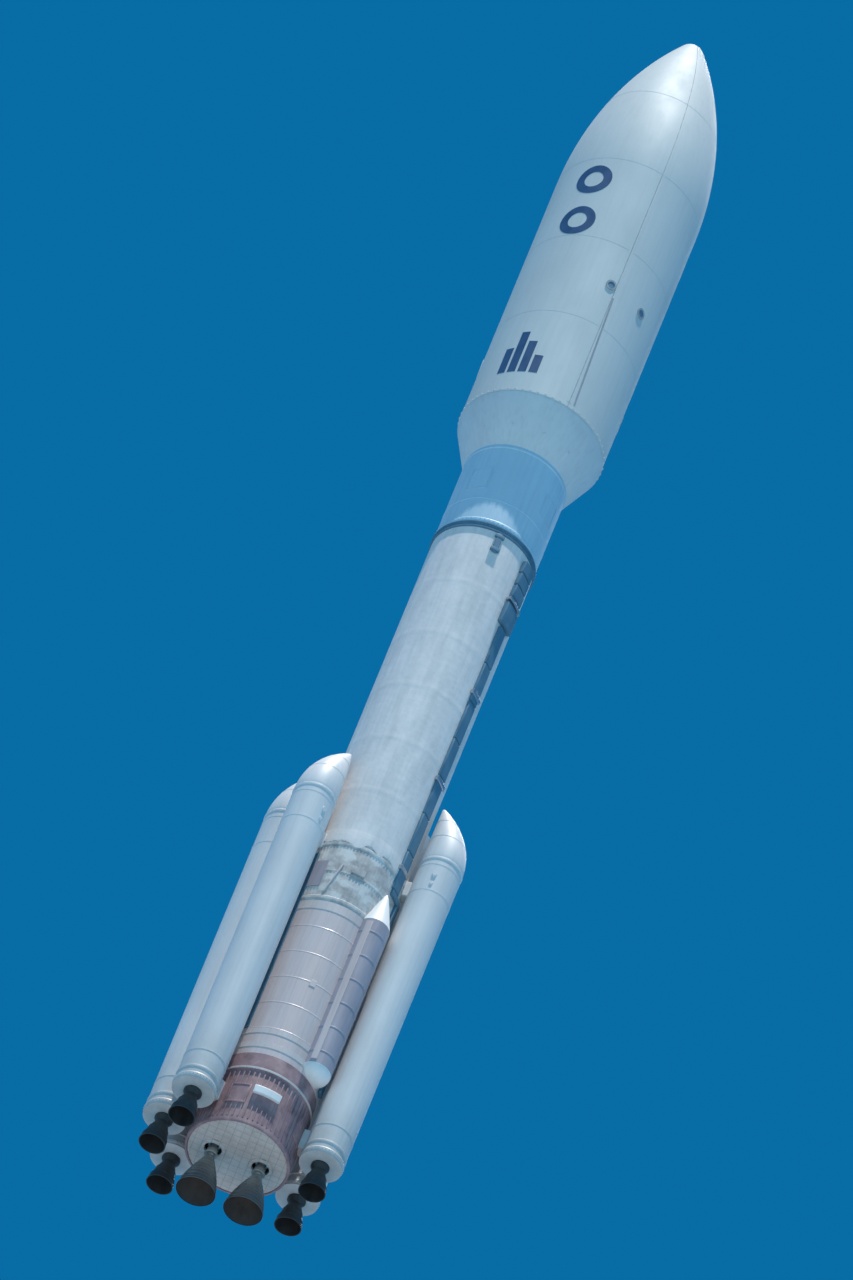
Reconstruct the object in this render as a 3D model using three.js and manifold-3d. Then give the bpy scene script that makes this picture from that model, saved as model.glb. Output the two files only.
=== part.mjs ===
// A heavy two-stage space rocket at half its real size: a core stage with a twin-bell main engine, five
// strap-on boosters, an interstage with a flared boat tail, an upper stage, and a fairing in two halves.
// The origin is the middle of the launch mount's plane, +Z is up, and an azimuth is counted from -Y
// towards +X.
import * as THREE from 'three';
import { mergeVertices } from 'three/addons/utils/BufferGeometryUtils.js';
import Module from 'manifold-3d';

const wasm = await Module();
wasm.setup();

// Sizes below are the real rocket's, in metres. The model is at 1:2.
const MODEL_MM_PER_REAL_METRE = 500;
const SEAT_GAP = 0.0006;
const SEAM_GAP = 0.012;
const MERGE_MM = 1e-3;

// Where each section of the stack starts above the launch mount's plane.
const LEVEL = {
  launchMount: 0,
  fuelTank: 3.4,
  intertank: 11.25,
  oxidiserTank: 14.3,
  separationRing: 30.65,
  interstage: 30.95,
  boatTail: 34.95,
  fairing: 36.95,
  ogive: 49.3,
};

const CORE_RADIUS = 1.905;
const CORE_SEGMENTS = 48;
const CUTTER_SEGMENTS = 96;
const SEPARATION_RING_PROUD = 0.03;
const INTERSTAGE_RADIUS = 1.915;

const AFT_WALL = 0.06;
const AFT_FLANGE = { proud: 0.035, bottom: 2.55, top: 2.75 };
const HEAT_SHIELD = { bottom: 0.02, top: 0.08, holeRadius: 0.36 };
const ENGINE_BLOCK = { width: 2.5, depth: 1.3 };

const BELL = {
  side: 0.9,
  pivotLevel: 0.2,
  ballRadius: 0.17,
  neckRadius: 0.11,
  chamberRadius: 0.2,
  chamberTop: 0.0,
  chamberBottom: -0.22,
  throatRadius: 0.13,
  throatLevel: -0.42,
  exitRadius: 0.715,
  exitLevel: -2.2,
  wall: 0.022,
};
const GIMBAL_RING = { clearance: 0.0008, width: 0.09, height: 0.09 };
const BELL_SEGMENTS = 24;
const BALL_STEPS = 8;
const FLARE_STEPS = 8;
// How much of a bell's widening follows a quarter wave; the rest is straight.
const FLARE_WAVE_SHARE = 0.55;

const FAIRING = {
  radius: 2.7,
  wall: 0.06,
  ogiveLength: 9.3,
  tipRadius: 0.5,
  splitAzimuthDegrees: 15,
};
const FAIRING_SEGMENTS = 48;
const OGIVE_STEPS = 8;
const TIP_STEPS = 3;

const UPPER_STAGE = { radius: 1.525, shoulder: 42.6, top: 43.6, topRadius: 0.95 };
const DOME_STEPS = 5;
const PAYLOAD_ADAPTER = { bottomRadius: 0.93, topRadius: 0.75, top: 44.5, flange: 0.06, flangeProud: 0.06 };

const BOOSTER = {
  azimuthsDegrees: [-53, -93, -133, 77, 120],
  centreRadius: 2.9,
  radius: 0.79,
  bottom: 0.55,
  shoulder: 15.7,
  noseHeight: 3.0,
  noseTipRadius: 0.09,
  noseLean: 1.0,
  aftRingProud: 0.02,
  aftRingTop: 1.15,
};
const BOOSTER_SEGMENTS = 20;
const BOOSTER_NOSE_STEPS = 6;
const BOOSTER_TIP_STEPS = 2;
const BOOSTER_FLARE_STEPS = 5;
const BOOSTER_NOZZLE = {
  neckRadius: 0.34,
  throatRadius: 0.2,
  throatLevel: 0.3,
  exitRadius: 0.5,
  exitLevel: -0.75,
  wall: 0.035,
  cantDegrees: 3,
};
// The fittings that hold a booster to the core, from its foot up.
const BOOSTER_FITTINGS = [
  { bottom: 1.0, top: 1.9, width: 0.5 },
  { bottom: 13.95, top: 14.65, width: 0.42 },
];
const WALL_SINK = 0.12;

// The pod that covers the oxidiser feedline on its way past the fuel tank.
const POD = {
  azimuthDegrees: 46,
  radius: 0.585,
  centreRadius: 1.95,
  tail: 3.4,
  bottom: 3.9,
  top: 11.25,
  nose: 13.0,
  noseTipRadius: 0.1,
  noseLean: 0.05,
};
const POD_SEGMENTS = 24;
const POD_CAP_STEPS = 6;

// The cable raceway's stretches from its foot up: it steps sideways past the feedline pod.
// Columns: azimuth in degrees, width, bottom, top.
const RACEWAY_STRETCHES = [
  [70, 0.34, 3.6, 13.45],
  [62, 0.9, 13.2, 13.45],
  [54, 0.45, 13.2, 27.1],
];
const RACEWAY_DEPTH = 0.12;
// Brackets over the raceway along the upper tank.
const BRACKET = { levels: [14.4, 19.0, 23.5], azimuth: 54, width: 0.62, depth: 0.16, height: 0.2 };
// Boxes on the core's wall. The rows of one name make one piece.
// Columns: name, azimuth in degrees, width, depth, bottom, top, finish.
const WALL_BOXES = [
  ...RACEWAY_STRETCHES.map(([azimuth, width, bottom, top]) => {
    return ['cable_raceway', azimuth, width, RACEWAY_DEPTH, bottom, top, 'dark'];
  }),
  ...BRACKET.levels.map((level) => {
    return ['cable_raceway', BRACKET.azimuth, BRACKET.width, BRACKET.depth, level, level + BRACKET.height];
  }),
  ['equipment_box', 54, 0.84, 0.24, 27.15, 30.5, 'dark'],
  ['umbilical_box', 7, 0.2, 0.12, 29.7, 30.6, 'dark'],
  ['aft_cover_box', 4, 1.0, 0.13, 1.45, 1.8, 'white'],
];

const FINISHES = {
  bronze: { color: '#c4aca3', roughness: 0.45, metalness: 0.35 },
  intertank: { color: '#b8ab9a', roughness: 0.7, metalness: 0.1 },
  aft: { color: '#a07a73', roughness: 0.55, metalness: 0.2 },
  frost: { color: '#e9edf0', roughness: 0.7, metalness: 0 },
  white: { color: '#f2f2ef', roughness: 0.4, metalness: 0 },
  fairing: { color: '#f5f3ee', roughness: 0.35, metalness: 0 },
  dark: { color: '#55646f', roughness: 0.6, metalness: 0.1 },
  steel: { color: '#b9bcc0', roughness: 0.3, metalness: 0.9 },
  bell: { color: '#6b5a50', roughness: 0.4, metalness: 0.8 },
  shield: { color: '#c9c4b8', roughness: 0.7, metalness: 0 },
  carbon: { color: '#3a3836', roughness: 0.6, metalness: 0.1 },
};

const mm = (realMetres) => realMetres * MODEL_MM_PER_REAL_METRE;
const radians = THREE.MathUtils.degToRad;

/** The volume that a list of triangles closes, negative where its faces point in. */
function signedVolume(positions, triangles) {
  const corner = [new THREE.Vector3(), new THREE.Vector3(), new THREE.Vector3()];
  let volume = 0;
  for (let i = 0; i < triangles.length; i += 3) {
    corner.forEach((point, k) => point.fromBufferAttribute(positions, triangles[i + k]));
    volume += corner[0].dot(corner[1].cross(corner[2])) / 6;
  }
  return volume;
}

/** One closed solid from a three.js shape, with shared corners merged and faces turned outwards. */
function solidOf(geometry) {
  const bare = geometry.clone();
  bare.deleteAttribute('normal');
  bare.deleteAttribute('uv');
  const merged = mergeVertices(bare, MERGE_MM);
  const positions = merged.getAttribute('position');
  const triangles = [];
  for (let i = 0; i < merged.index.count; i += 3) {
    const [a, b, c] = [0, 1, 2].map((k) => merged.index.getX(i + k));
    if (a !== b && b !== c && c !== a) {
      triangles.push(a, b, c);
    }
  }
  if (signedVolume(positions, triangles) < 0) {
    triangles.reverse();
  }
  return new wasm.Manifold(
    new wasm.Mesh({
      numProp: 3,
      vertProperties: new Float32Array(positions.array),
      triVerts: new Uint32Array(triangles),
    }),
  );
}

/** A profile of [radius, level] points, in real metres, turned about the Z axis. */
function turned(profile, segments, reshape = (geometry) => geometry) {
  const onAxis = ([radius]) => radius === 0;
  const closed = onAxis(profile[0]) && onAxis(profile.at(-1)) ? profile : [...profile, profile[0]];
  const points = closed.map(([radius, level]) => new THREE.Vector2(mm(radius), mm(level)));
  const geometry = new THREE.LatheGeometry(points, segments);
  geometry.rotateX(Math.PI / 2);
  return solidOf(reshape(geometry));
}

/** A plain round solid between two levels, given in real metres. */
function drum(bottom, top, bottomRadius, topRadius, segments) {
  return turned([[0, bottom], [bottomRadius, bottom], [topRadius, top], [0, top]], segments);
}

/** A box between two levels whose middle lies at (x, y), in real metres, then turned to an azimuth. */
function block(x, y, width, depth, bottom, top, azimuth = 0) {
  const geometry = new THREE.BoxGeometry(mm(width), mm(depth), mm(top - bottom));
  geometry.translate(mm(x), mm(y), mm((bottom + top) / 2));
  geometry.rotateZ(radians(azimuth));
  return solidOf(geometry);
}

/** A drum that cuts a piece to lie a seat's gap off a round wall, with its facets outside that wall. */
function wallCutter(wallRadius, bottom, top) {
  const radius = (wallRadius + SEAT_GAP) / Math.cos(Math.PI / CUTTER_SEGMENTS);
  return drum(bottom, top, radius, radius, CUTTER_SEGMENTS);
}

/** The named mesh of a solid, in one of the finishes. */
function meshOf(name, solid, finish) {
  const { vertProperties, triVerts } = solid.getMesh();
  const geometry = new THREE.BufferGeometry();
  geometry.setAttribute('position', new THREE.BufferAttribute(vertProperties, 3));
  geometry.setIndex(new THREE.BufferAttribute(triVerts, 1));
  geometry.computeVertexNormals();
  const mesh = new THREE.Mesh(geometry, new THREE.MeshStandardMaterial(FINISHES[finish]));
  mesh.name = name;
  return mesh;
}

/**
 * The [radius, height] points of a tangent ogive with a ball tip, from its base up to the axis. With an
 * inset, they are the points of a wall's inner face.
 */
function ogive(baseRadius, length, tipRadius, inset, arcSteps, ballSteps) {
  const arcRadius = (baseRadius ** 2 + length ** 2) / (2 * baseRadius);
  const arcOffset = arcRadius - baseRadius;
  const ballLevel = Math.sqrt((arcRadius - tipRadius) ** 2 - arcOffset ** 2);
  const meeting = Math.atan2(ballLevel, arcOffset);
  const points = [];
  for (let i = 0; i <= arcSteps; i += 1) {
    const angle = (meeting * i) / arcSteps;
    const reach = arcRadius - inset;
    points.push([reach * Math.cos(angle) - arcOffset, reach * Math.sin(angle)]);
  }
  for (let i = 1; i < ballSteps; i += 1) {
    const angle = meeting + ((Math.PI / 2 - meeting) * i) / ballSteps;
    const reach = tipRadius - inset;
    points.push([reach * Math.cos(angle), ballLevel + reach * Math.sin(angle)]);
  }
  points.push([0, ballLevel + tipRadius - inset]);
  return points;
}

/** The round sections of the stack, from the aft end up. */
function stackSections() {
  const flange = AFT_FLANGE;
  const inner = CORE_RADIUS - AFT_WALL;
  const aft = turned(
    [
      [inner, LEVEL.launchMount],
      [CORE_RADIUS, LEVEL.launchMount],
      [CORE_RADIUS, flange.bottom],
      [CORE_RADIUS + flange.proud, flange.bottom],
      [CORE_RADIUS + flange.proud, flange.top],
      [CORE_RADIUS, flange.top],
      [CORE_RADIUS, LEVEL.fuelTank - SEAT_GAP],
      [inner, LEVEL.fuelTank - SEAT_GAP],
    ],
    CORE_SEGMENTS,
  );
  // Columns: name, bottom, top, bottom radius, top radius, finish.
  const ringRadius = CORE_RADIUS + SEPARATION_RING_PROUD;
  const table = [
    ['core_fuel_tank', LEVEL.fuelTank, LEVEL.intertank, CORE_RADIUS, CORE_RADIUS, 'bronze'],
    ['core_intertank', LEVEL.intertank, LEVEL.oxidiserTank, CORE_RADIUS, CORE_RADIUS, 'intertank'],
    ['core_oxidiser_tank', LEVEL.oxidiserTank, LEVEL.separationRing, CORE_RADIUS, CORE_RADIUS, 'frost'],
    ['core_separation_ring', LEVEL.separationRing, LEVEL.interstage, ringRadius, ringRadius, 'dark'],
    ['interstage', LEVEL.interstage, LEVEL.boatTail, INTERSTAGE_RADIUS, INTERSTAGE_RADIUS, 'white'],
    ['boat_tail', LEVEL.boatTail, LEVEL.fairing, INTERSTAGE_RADIUS, FAIRING.radius, 'white'],
  ];
  const sections = table.map(([name, bottom, top, bottomRadius, topRadius, finish]) =>
    meshOf(name, drum(bottom, top - SEAT_GAP, bottomRadius, topRadius, CORE_SEGMENTS), finish),
  );
  return [meshOf('core_aft_section', aft, 'aft'), ...sections];
}

/** The heat shield across the foot of the core, and the engine's closed block above it. */
function engineBay() {
  const shieldRadius = CORE_RADIUS - AFT_WALL - 2 * SEAT_GAP;
  let shield = drum(HEAT_SHIELD.bottom, HEAT_SHIELD.top, shieldRadius, shieldRadius, CORE_SEGMENTS);
  for (const side of [-1, 1]) {
    const bore = new THREE.CylinderGeometry(
      mm(HEAT_SHIELD.holeRadius),
      mm(HEAT_SHIELD.holeRadius),
      mm(1),
      BELL_SEGMENTS,
    );
    bore.rotateX(Math.PI / 2);
    bore.translate(side * mm(BELL.side), 0, 0);
    shield = shield.subtract(solidOf(bore));
  }
  const blockBottom = BELL.pivotLevel + BELL.ballRadius + SEAT_GAP;
  const blockTop = LEVEL.fuelTank - SEAT_GAP;
  const engine = block(0, 0, ENGINE_BLOCK.width, ENGINE_BLOCK.depth, blockBottom, blockTop);
  return [meshOf('core_heat_shield', shield, 'shield'), meshOf('core_engine_block', engine, 'steel')];
}

/** The wall of a bell from its throat to its exit: a quarter wave that flares and then straightens. */
function flare(throatRadius, throatLevel, exitRadius, exitLevel, steps) {
  const points = [];
  for (let i = 0; i <= steps; i += 1) {
    const along = i / steps;
    const wave = Math.sin((along * Math.PI) / 2);
    const widening = wave * FLARE_WAVE_SHARE + along * (1 - FLARE_WAVE_SHARE);
    points.push([
      throatRadius + (exitRadius - throatRadius) * widening,
      throatLevel + (exitLevel - throatLevel) * along,
    ]);
  }
  return points;
}

/** A main engine bell about the Z axis: ball, neck, chamber, throat and the open bell below. */
function mainBell() {
  const { ballRadius, neckRadius, pivotLevel, wall } = BELL;
  const profile = [];
  const neckAngle = -Math.acos(neckRadius / ballRadius);
  for (let i = 0; i <= BALL_STEPS; i += 1) {
    const angle = Math.PI / 2 + ((neckAngle - Math.PI / 2) * i) / BALL_STEPS;
    profile.push([i === 0 ? 0 : ballRadius * Math.cos(angle), pivotLevel + ballRadius * Math.sin(angle)]);
  }
  profile.push([BELL.chamberRadius, BELL.chamberTop]);
  profile.push([BELL.chamberRadius, BELL.chamberBottom]);
  const { throatRadius, throatLevel, exitRadius, exitLevel } = BELL;
  const outer = flare(throatRadius, throatLevel, exitRadius, exitLevel, FLARE_STEPS);
  const inner = flare(throatRadius - wall, throatLevel, exitRadius - wall, exitLevel, FLARE_STEPS);
  profile.push(...outer, ...inner.reverse(), [0, throatLevel]);
  return turned(profile, BELL_SEGMENTS);
}

/** The ring that carries a bell's ball, about the Z axis. */
function gimbalRing() {
  const inner = BELL.ballRadius + GIMBAL_RING.clearance;
  const outer = inner + GIMBAL_RING.width;
  const bottom = BELL.pivotLevel - GIMBAL_RING.height / 2;
  const top = BELL.pivotLevel + GIMBAL_RING.height / 2;
  return turned([[inner, bottom], [outer, bottom], [outer, top], [inner, top]], BELL_SEGMENTS);
}

/** Both bells of the main engine with their rings. */
function mainEngine() {
  const group = new THREE.Group();
  for (const [label, side] of [['left', -1], ['right', 1]]) {
    const assembly = new THREE.Group();
    assembly.position.x = side * mm(BELL.side);
    assembly.add(meshOf(`main_gimbal_ring_${label}`, gimbalRing(), 'steel'));
    assembly.add(meshOf(`main_bell_${label}`, mainBell(), 'bell'));
    group.add(assembly);
  }
  return group;
}

/** The fairing's two halves, parted along a plane through the axis. */
function fairingHalves() {
  const { radius, wall, ogiveLength, tipRadius } = FAIRING;
  const raise = ([r, height]) => [r, LEVEL.ogive + height];
  const outer = ogive(radius, ogiveLength, tipRadius, 0, OGIVE_STEPS, TIP_STEPS).map(raise);
  const inner = ogive(radius, ogiveLength, tipRadius, wall, OGIVE_STEPS, TIP_STEPS).map(raise);
  const profile = [[radius, LEVEL.fairing], ...outer, ...inner.reverse(), [radius - wall, LEVEL.fairing]];
  const shell = turned(profile, FAIRING_SEGMENTS);
  const reach = 2 * radius;
  const group = new THREE.Group();
  group.rotation.z = radians(FAIRING.splitAzimuthDegrees);
  for (const [label, side] of [['left', -1], ['right', 1]]) {
    const middle = (side * (reach + SEAM_GAP)) / 2;
    const keep = block(middle, 0, reach, 2 * reach, LEVEL.boatTail, LEVEL.ogive + ogiveLength);
    group.add(meshOf(`fairing_half_${label}`, shell.intersect(keep), 'fairing'));
  }
  return group;
}

/** The upper stage's tank and the adapter that carries the payload on it. */
function upperStage() {
  const { radius, shoulder, top, topRadius } = UPPER_STAGE;
  const dome = [];
  const fullHeight = (top - shoulder) / Math.sqrt(1 - (topRadius / radius) ** 2);
  const lastAngle = Math.acos(topRadius / radius);
  for (let i = 0; i <= DOME_STEPS; i += 1) {
    const angle = (lastAngle * i) / DOME_STEPS;
    dome.push([radius * Math.cos(angle), shoulder + fullHeight * Math.sin(angle)]);
  }
  const tank = turned([[0, LEVEL.fairing], [radius, LEVEL.fairing], ...dome, [0, top]], CORE_SEGMENTS);
  const { bottomRadius, topRadius: seatRadius, flange, flangeProud } = PAYLOAD_ADAPTER;
  const adapterTop = PAYLOAD_ADAPTER.top;
  const adapter = turned(
    [
      [0, top + SEAT_GAP],
      [bottomRadius, top + SEAT_GAP],
      [seatRadius, adapterTop - flange],
      [seatRadius + flangeProud, adapterTop - flange],
      [seatRadius + flangeProud, adapterTop],
      [0, adapterTop],
    ],
    BELL_SEGMENTS,
  );
  return [meshOf('upper_stage_tank', tank, 'steel'), meshOf('payload_adapter', adapter, 'carbon')];
}

/** A booster's nose: an ogive whose sections step in towards the core as they narrow. */
function boosterNose() {
  const { radius, noseHeight, noseTipRadius, noseLean, shoulder, centreRadius } = BOOSTER;
  const start = shoulder + SEAT_GAP;
  const curve = ogive(radius, noseHeight, noseTipRadius, 0, BOOSTER_NOSE_STEPS, BOOSTER_TIP_STEPS);
  const profile = [[0, start], ...curve.map(([r, height]) => [r, start + height])];
  const arcRadius = (radius ** 2 + noseHeight ** 2) / (2 * radius);
  const sectionRadius = (height) => Math.sqrt(arcRadius ** 2 - height ** 2) - (arcRadius - radius);
  const lean = (geometry) => {
    const positions = geometry.getAttribute('position');
    for (let i = 0; i < positions.count; i += 1) {
      const height = Math.max(0, positions.getZ(i) / MODEL_MM_PER_REAL_METRE - start);
      const shift = noseLean * (radius - sectionRadius(height));
      positions.setY(i, positions.getY(i) + mm(shift - centreRadius));
    }
    return geometry;
  };
  return turned(profile, BOOSTER_SEGMENTS, lean);
}

/** A booster's case with the fittings that meet the core. */
function boosterCase() {
  const { radius, bottom, shoulder, centreRadius, aftRingProud, aftRingTop } = BOOSTER;
  const place = (geometry) => geometry.translate(0, -mm(centreRadius), 0);
  const ringRadius = radius + aftRingProud;
  const profile = [
    [0, bottom],
    [ringRadius, bottom],
    [ringRadius, aftRingTop],
    [radius, aftRingTop],
    [radius, shoulder],
    [0, shoulder],
  ];
  let solid = turned(profile, BOOSTER_SEGMENTS, place);
  const depth = centreRadius - radius + 2 * WALL_SINK - CORE_RADIUS;
  const middle = -(CORE_RADIUS - WALL_SINK + depth / 2);
  for (const fitting of BOOSTER_FITTINGS) {
    solid = solid.add(block(0, middle, fitting.width, depth, fitting.bottom, fitting.top));
  }
  return solid.subtract(wallCutter(CORE_RADIUS, LEVEL.launchMount, LEVEL.separationRing));
}

/** A booster's nozzle, tipped outboard about the middle of its neck. */
function boosterNozzle() {
  const { neckRadius, throatRadius, throatLevel, exitRadius, exitLevel, wall } = BOOSTER_NOZZLE;
  const cant = radians(BOOSTER_NOZZLE.cantDegrees);
  const neckLevel = BOOSTER.bottom - SEAT_GAP - neckRadius * Math.sin(cant);
  const outer = flare(throatRadius + wall, throatLevel, exitRadius, exitLevel, BOOSTER_FLARE_STEPS);
  const inner = flare(throatRadius, throatLevel - wall, exitRadius - wall, exitLevel, BOOSTER_FLARE_STEPS);
  const profile = [
    [0, neckLevel],
    [neckRadius, neckLevel],
    ...outer,
    ...inner.reverse(),
    [0, throatLevel - wall],
  ];
  const tip = (geometry) => {
    geometry.translate(0, 0, -mm(neckLevel));
    geometry.rotateX(-cant);
    geometry.translate(0, -mm(BOOSTER.centreRadius), mm(neckLevel));
    return geometry;
  };
  return turned(profile, BOOSTER_SEGMENTS, tip);
}

/** The boosters round the core, each a nose, a case and a nozzle. */
function boosters() {
  const group = new THREE.Group();
  BOOSTER.azimuthsDegrees.forEach((azimuth, i) => {
    const booster = new THREE.Group();
    booster.rotation.z = radians(azimuth);
    booster.add(meshOf(`booster_${i + 1}_nose`, boosterNose(), 'white'));
    booster.add(meshOf(`booster_${i + 1}_case`, boosterCase(), 'white'));
    booster.add(meshOf(`booster_${i + 1}_nozzle`, boosterNozzle(), 'carbon'));
    group.add(booster);
  });
  return group;
}

/** The feedline pod's tail, body and nose, cut to lie against the core's wall. */
function feedlinePod() {
  const { radius, centreRadius, tail, bottom, top, nose, noseTipRadius, noseLean } = POD;
  const core = wallCutter(CORE_RADIUS, LEVEL.launchMount, LEVEL.separationRing);
  const place = (geometry) => geometry.translate(0, -mm(centreRadius), 0);
  const leanIn = (geometry) => {
    const positions = geometry.getAttribute('position');
    for (let i = 0; i < positions.count; i += 1) {
      const along = (positions.getZ(i) / MODEL_MM_PER_REAL_METRE - top) / (nose - top);
      positions.setY(i, positions.getY(i) + mm(radius * noseLean * Math.max(0, along)));
    }
    return place(geometry);
  };
  const tailPoints = [[0, tail]];
  for (let i = 1; i <= POD_CAP_STEPS; i += 1) {
    const angle = (Math.PI / 2) * (i / POD_CAP_STEPS);
    tailPoints.push([radius * Math.sin(angle), bottom - (bottom - tail) * Math.cos(angle)]);
  }
  const topOfTail = bottom - SEAT_GAP;
  tailPoints[tailPoints.length - 1][1] = topOfTail;
  // Columns: name, profile, reshaping, finish.
  const table = [
    ['feedline_pod_tail', [...tailPoints, [0, topOfTail]], place, 'white'],
    ['feedline_pod_body', [[0, bottom], [radius, bottom], [radius, top], [0, top]], place, 'bronze'],
    [
      'feedline_pod_nose',
      [[0, top + SEAT_GAP], [radius, top + SEAT_GAP], [noseTipRadius, nose], [0, nose + noseTipRadius / 2]],
      leanIn,
      'white',
    ],
  ];
  const group = new THREE.Group();
  group.rotation.z = radians(POD.azimuthDegrees);
  for (const [name, profile, reshape, finish] of table) {
    group.add(meshOf(name, turned(profile, POD_SEGMENTS, reshape).subtract(core), finish));
  }
  return group;
}

/** The boxes along the core's wall, cut to lie against it. */
function wallBoxes() {
  const core = wallCutter(CORE_RADIUS, LEVEL.launchMount, LEVEL.interstage);
  const solids = new Map();
  const finishes = new Map();
  for (const [name, azimuth, width, depth, bottom, top, finish] of WALL_BOXES) {
    const middle = -(CORE_RADIUS + (depth - WALL_SINK) / 2);
    const box = block(0, middle, width, depth + WALL_SINK, bottom, top, azimuth);
    if (solids.has(name)) {
      solids.set(name, solids.get(name).add(box));
    } else {
      solids.set(name, box);
      finishes.set(name, finish);
    }
  }
  return [...solids].map(([name, solid]) => meshOf(name, solid.subtract(core), finishes.get(name)));
}

const rocket = new THREE.Group();
rocket.add(...stackSections(), ...engineBay(), mainEngine(), fairingHalves(), ...upperStage());
rocket.add(boosters(), feedlinePod(), ...wallBoxes());
rocket.updateMatrixWorld(true);

export default rocket;
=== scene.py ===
"""Looks of a space rocket at half its real size: smooth skins, fittings, finishes, camera and light.

Every class holds the real rocket's sizes in metres, and finish_piece() scales each piece to the model's
1:2. Levels are heights above the launch mount's plane. An azimuth is in degrees, counted from the side
that faces the camera towards the picture's right.
"""

import logging
import math
from dataclasses import dataclass
from enum import Enum
from functools import cache
from typing import Any, Iterable, Optional, Sequence, Union

import bmesh
import bpy
from mathutils import Matrix, Vector, noise

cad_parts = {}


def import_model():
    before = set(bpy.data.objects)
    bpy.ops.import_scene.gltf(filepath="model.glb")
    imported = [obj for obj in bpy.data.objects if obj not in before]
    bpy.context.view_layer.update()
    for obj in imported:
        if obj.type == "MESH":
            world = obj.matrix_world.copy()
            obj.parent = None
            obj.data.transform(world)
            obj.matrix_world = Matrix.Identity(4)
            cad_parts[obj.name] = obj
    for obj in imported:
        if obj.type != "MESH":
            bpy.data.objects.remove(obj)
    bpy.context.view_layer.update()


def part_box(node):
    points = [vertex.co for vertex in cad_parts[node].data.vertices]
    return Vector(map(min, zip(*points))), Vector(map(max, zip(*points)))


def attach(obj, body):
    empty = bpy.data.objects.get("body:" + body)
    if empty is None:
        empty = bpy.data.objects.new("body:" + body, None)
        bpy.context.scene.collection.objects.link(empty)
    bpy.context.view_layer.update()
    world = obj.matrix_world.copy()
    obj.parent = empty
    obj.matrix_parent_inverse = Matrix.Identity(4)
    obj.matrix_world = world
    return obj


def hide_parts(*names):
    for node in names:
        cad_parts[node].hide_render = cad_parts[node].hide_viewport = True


LOG = logging.getLogger("rocket")

SCALE = 0.5

# Sockets of the Mix node when it mixes colours.
MIX_FACTOR, MIX_LOW, MIX_HIGH, MIX_OUT = 0, 6, 7, 2

CORE_BODY = "core_stage"
CORE_SEGMENTS = 160
BOOSTER_AZIMUTHS = (-53.0, -93.0, -133.0, 77.0, 120.0)
# How deep the foot of most hoops lies in its wall, and of those on the fairing.
HOOP_SUNK = 0.01
FAIRING_HOOP_SUNK = 0.02

Mesh = bmesh.types.BMesh
Socket = bpy.types.NodeSocket
Profile = Sequence[tuple[float, float]]
# Level, width and proud height of a rib.
Rib = tuple[float, float, float]
# Sizes of one shape, in the order of the function that makes it unless a comment says otherwise.
Size = tuple[float, ...]
# Rows of a table whose columns the comment over it names.
Rows = tuple[tuple[float, ...], ...]


class Slot(Enum):
    """The record's material slots."""

    BRONZE = "bronze"
    INTERTANK = "intertank"
    AFT = "aft"
    FROST = "frost"
    WHITE = "white"
    FAIRING = "fairing"
    DARK = "dark"
    STEEL = "steel"
    UPPER_TANK = "upper_tank"
    BELL = "bell"
    SHIELD = "shield"
    CARBON = "carbon"


def linear(colour: str) -> tuple[float, float, float, float]:
    """Turns an sRGB hex colour into linear values.

    Args:
        colour: The colour, such as "#f2f2ef".

    Returns:
        Red, green, blue and a full alpha.
    """
    channels = [int(colour[i : i + 2], 16) / 255 for i in (1, 3, 5)]
    red, green, blue = (c / 12.92 if c <= 0.04045 else ((c + 0.055) / 1.055) ** 2.4 for c in channels)
    return (red, green, blue, 1.0)


def add_node(
    tree: bpy.types.NodeTree,
    kind: str,
    inputs: Optional[dict[Any, Any]] = None,
    **settings: Any,
) -> bpy.types.Node:
    """Adds a shader node with its settings and links.

    Args:
        tree: The node tree.
        kind: The node's type without its common prefix.
        inputs: Values or feeding sockets, by the input's name or number.
        **settings: Properties of the node itself.

    Returns:
        The new node.
    """
    node = tree.nodes.new("ShaderNode" + kind)
    for name, value in settings.items():
        setattr(node, name, value)
    for key, value in (inputs or {}).items():
        if isinstance(value, Socket):
            tree.links.new(value, node.inputs[key])
        else:
            node.inputs[key].default_value = value
    return node


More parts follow.
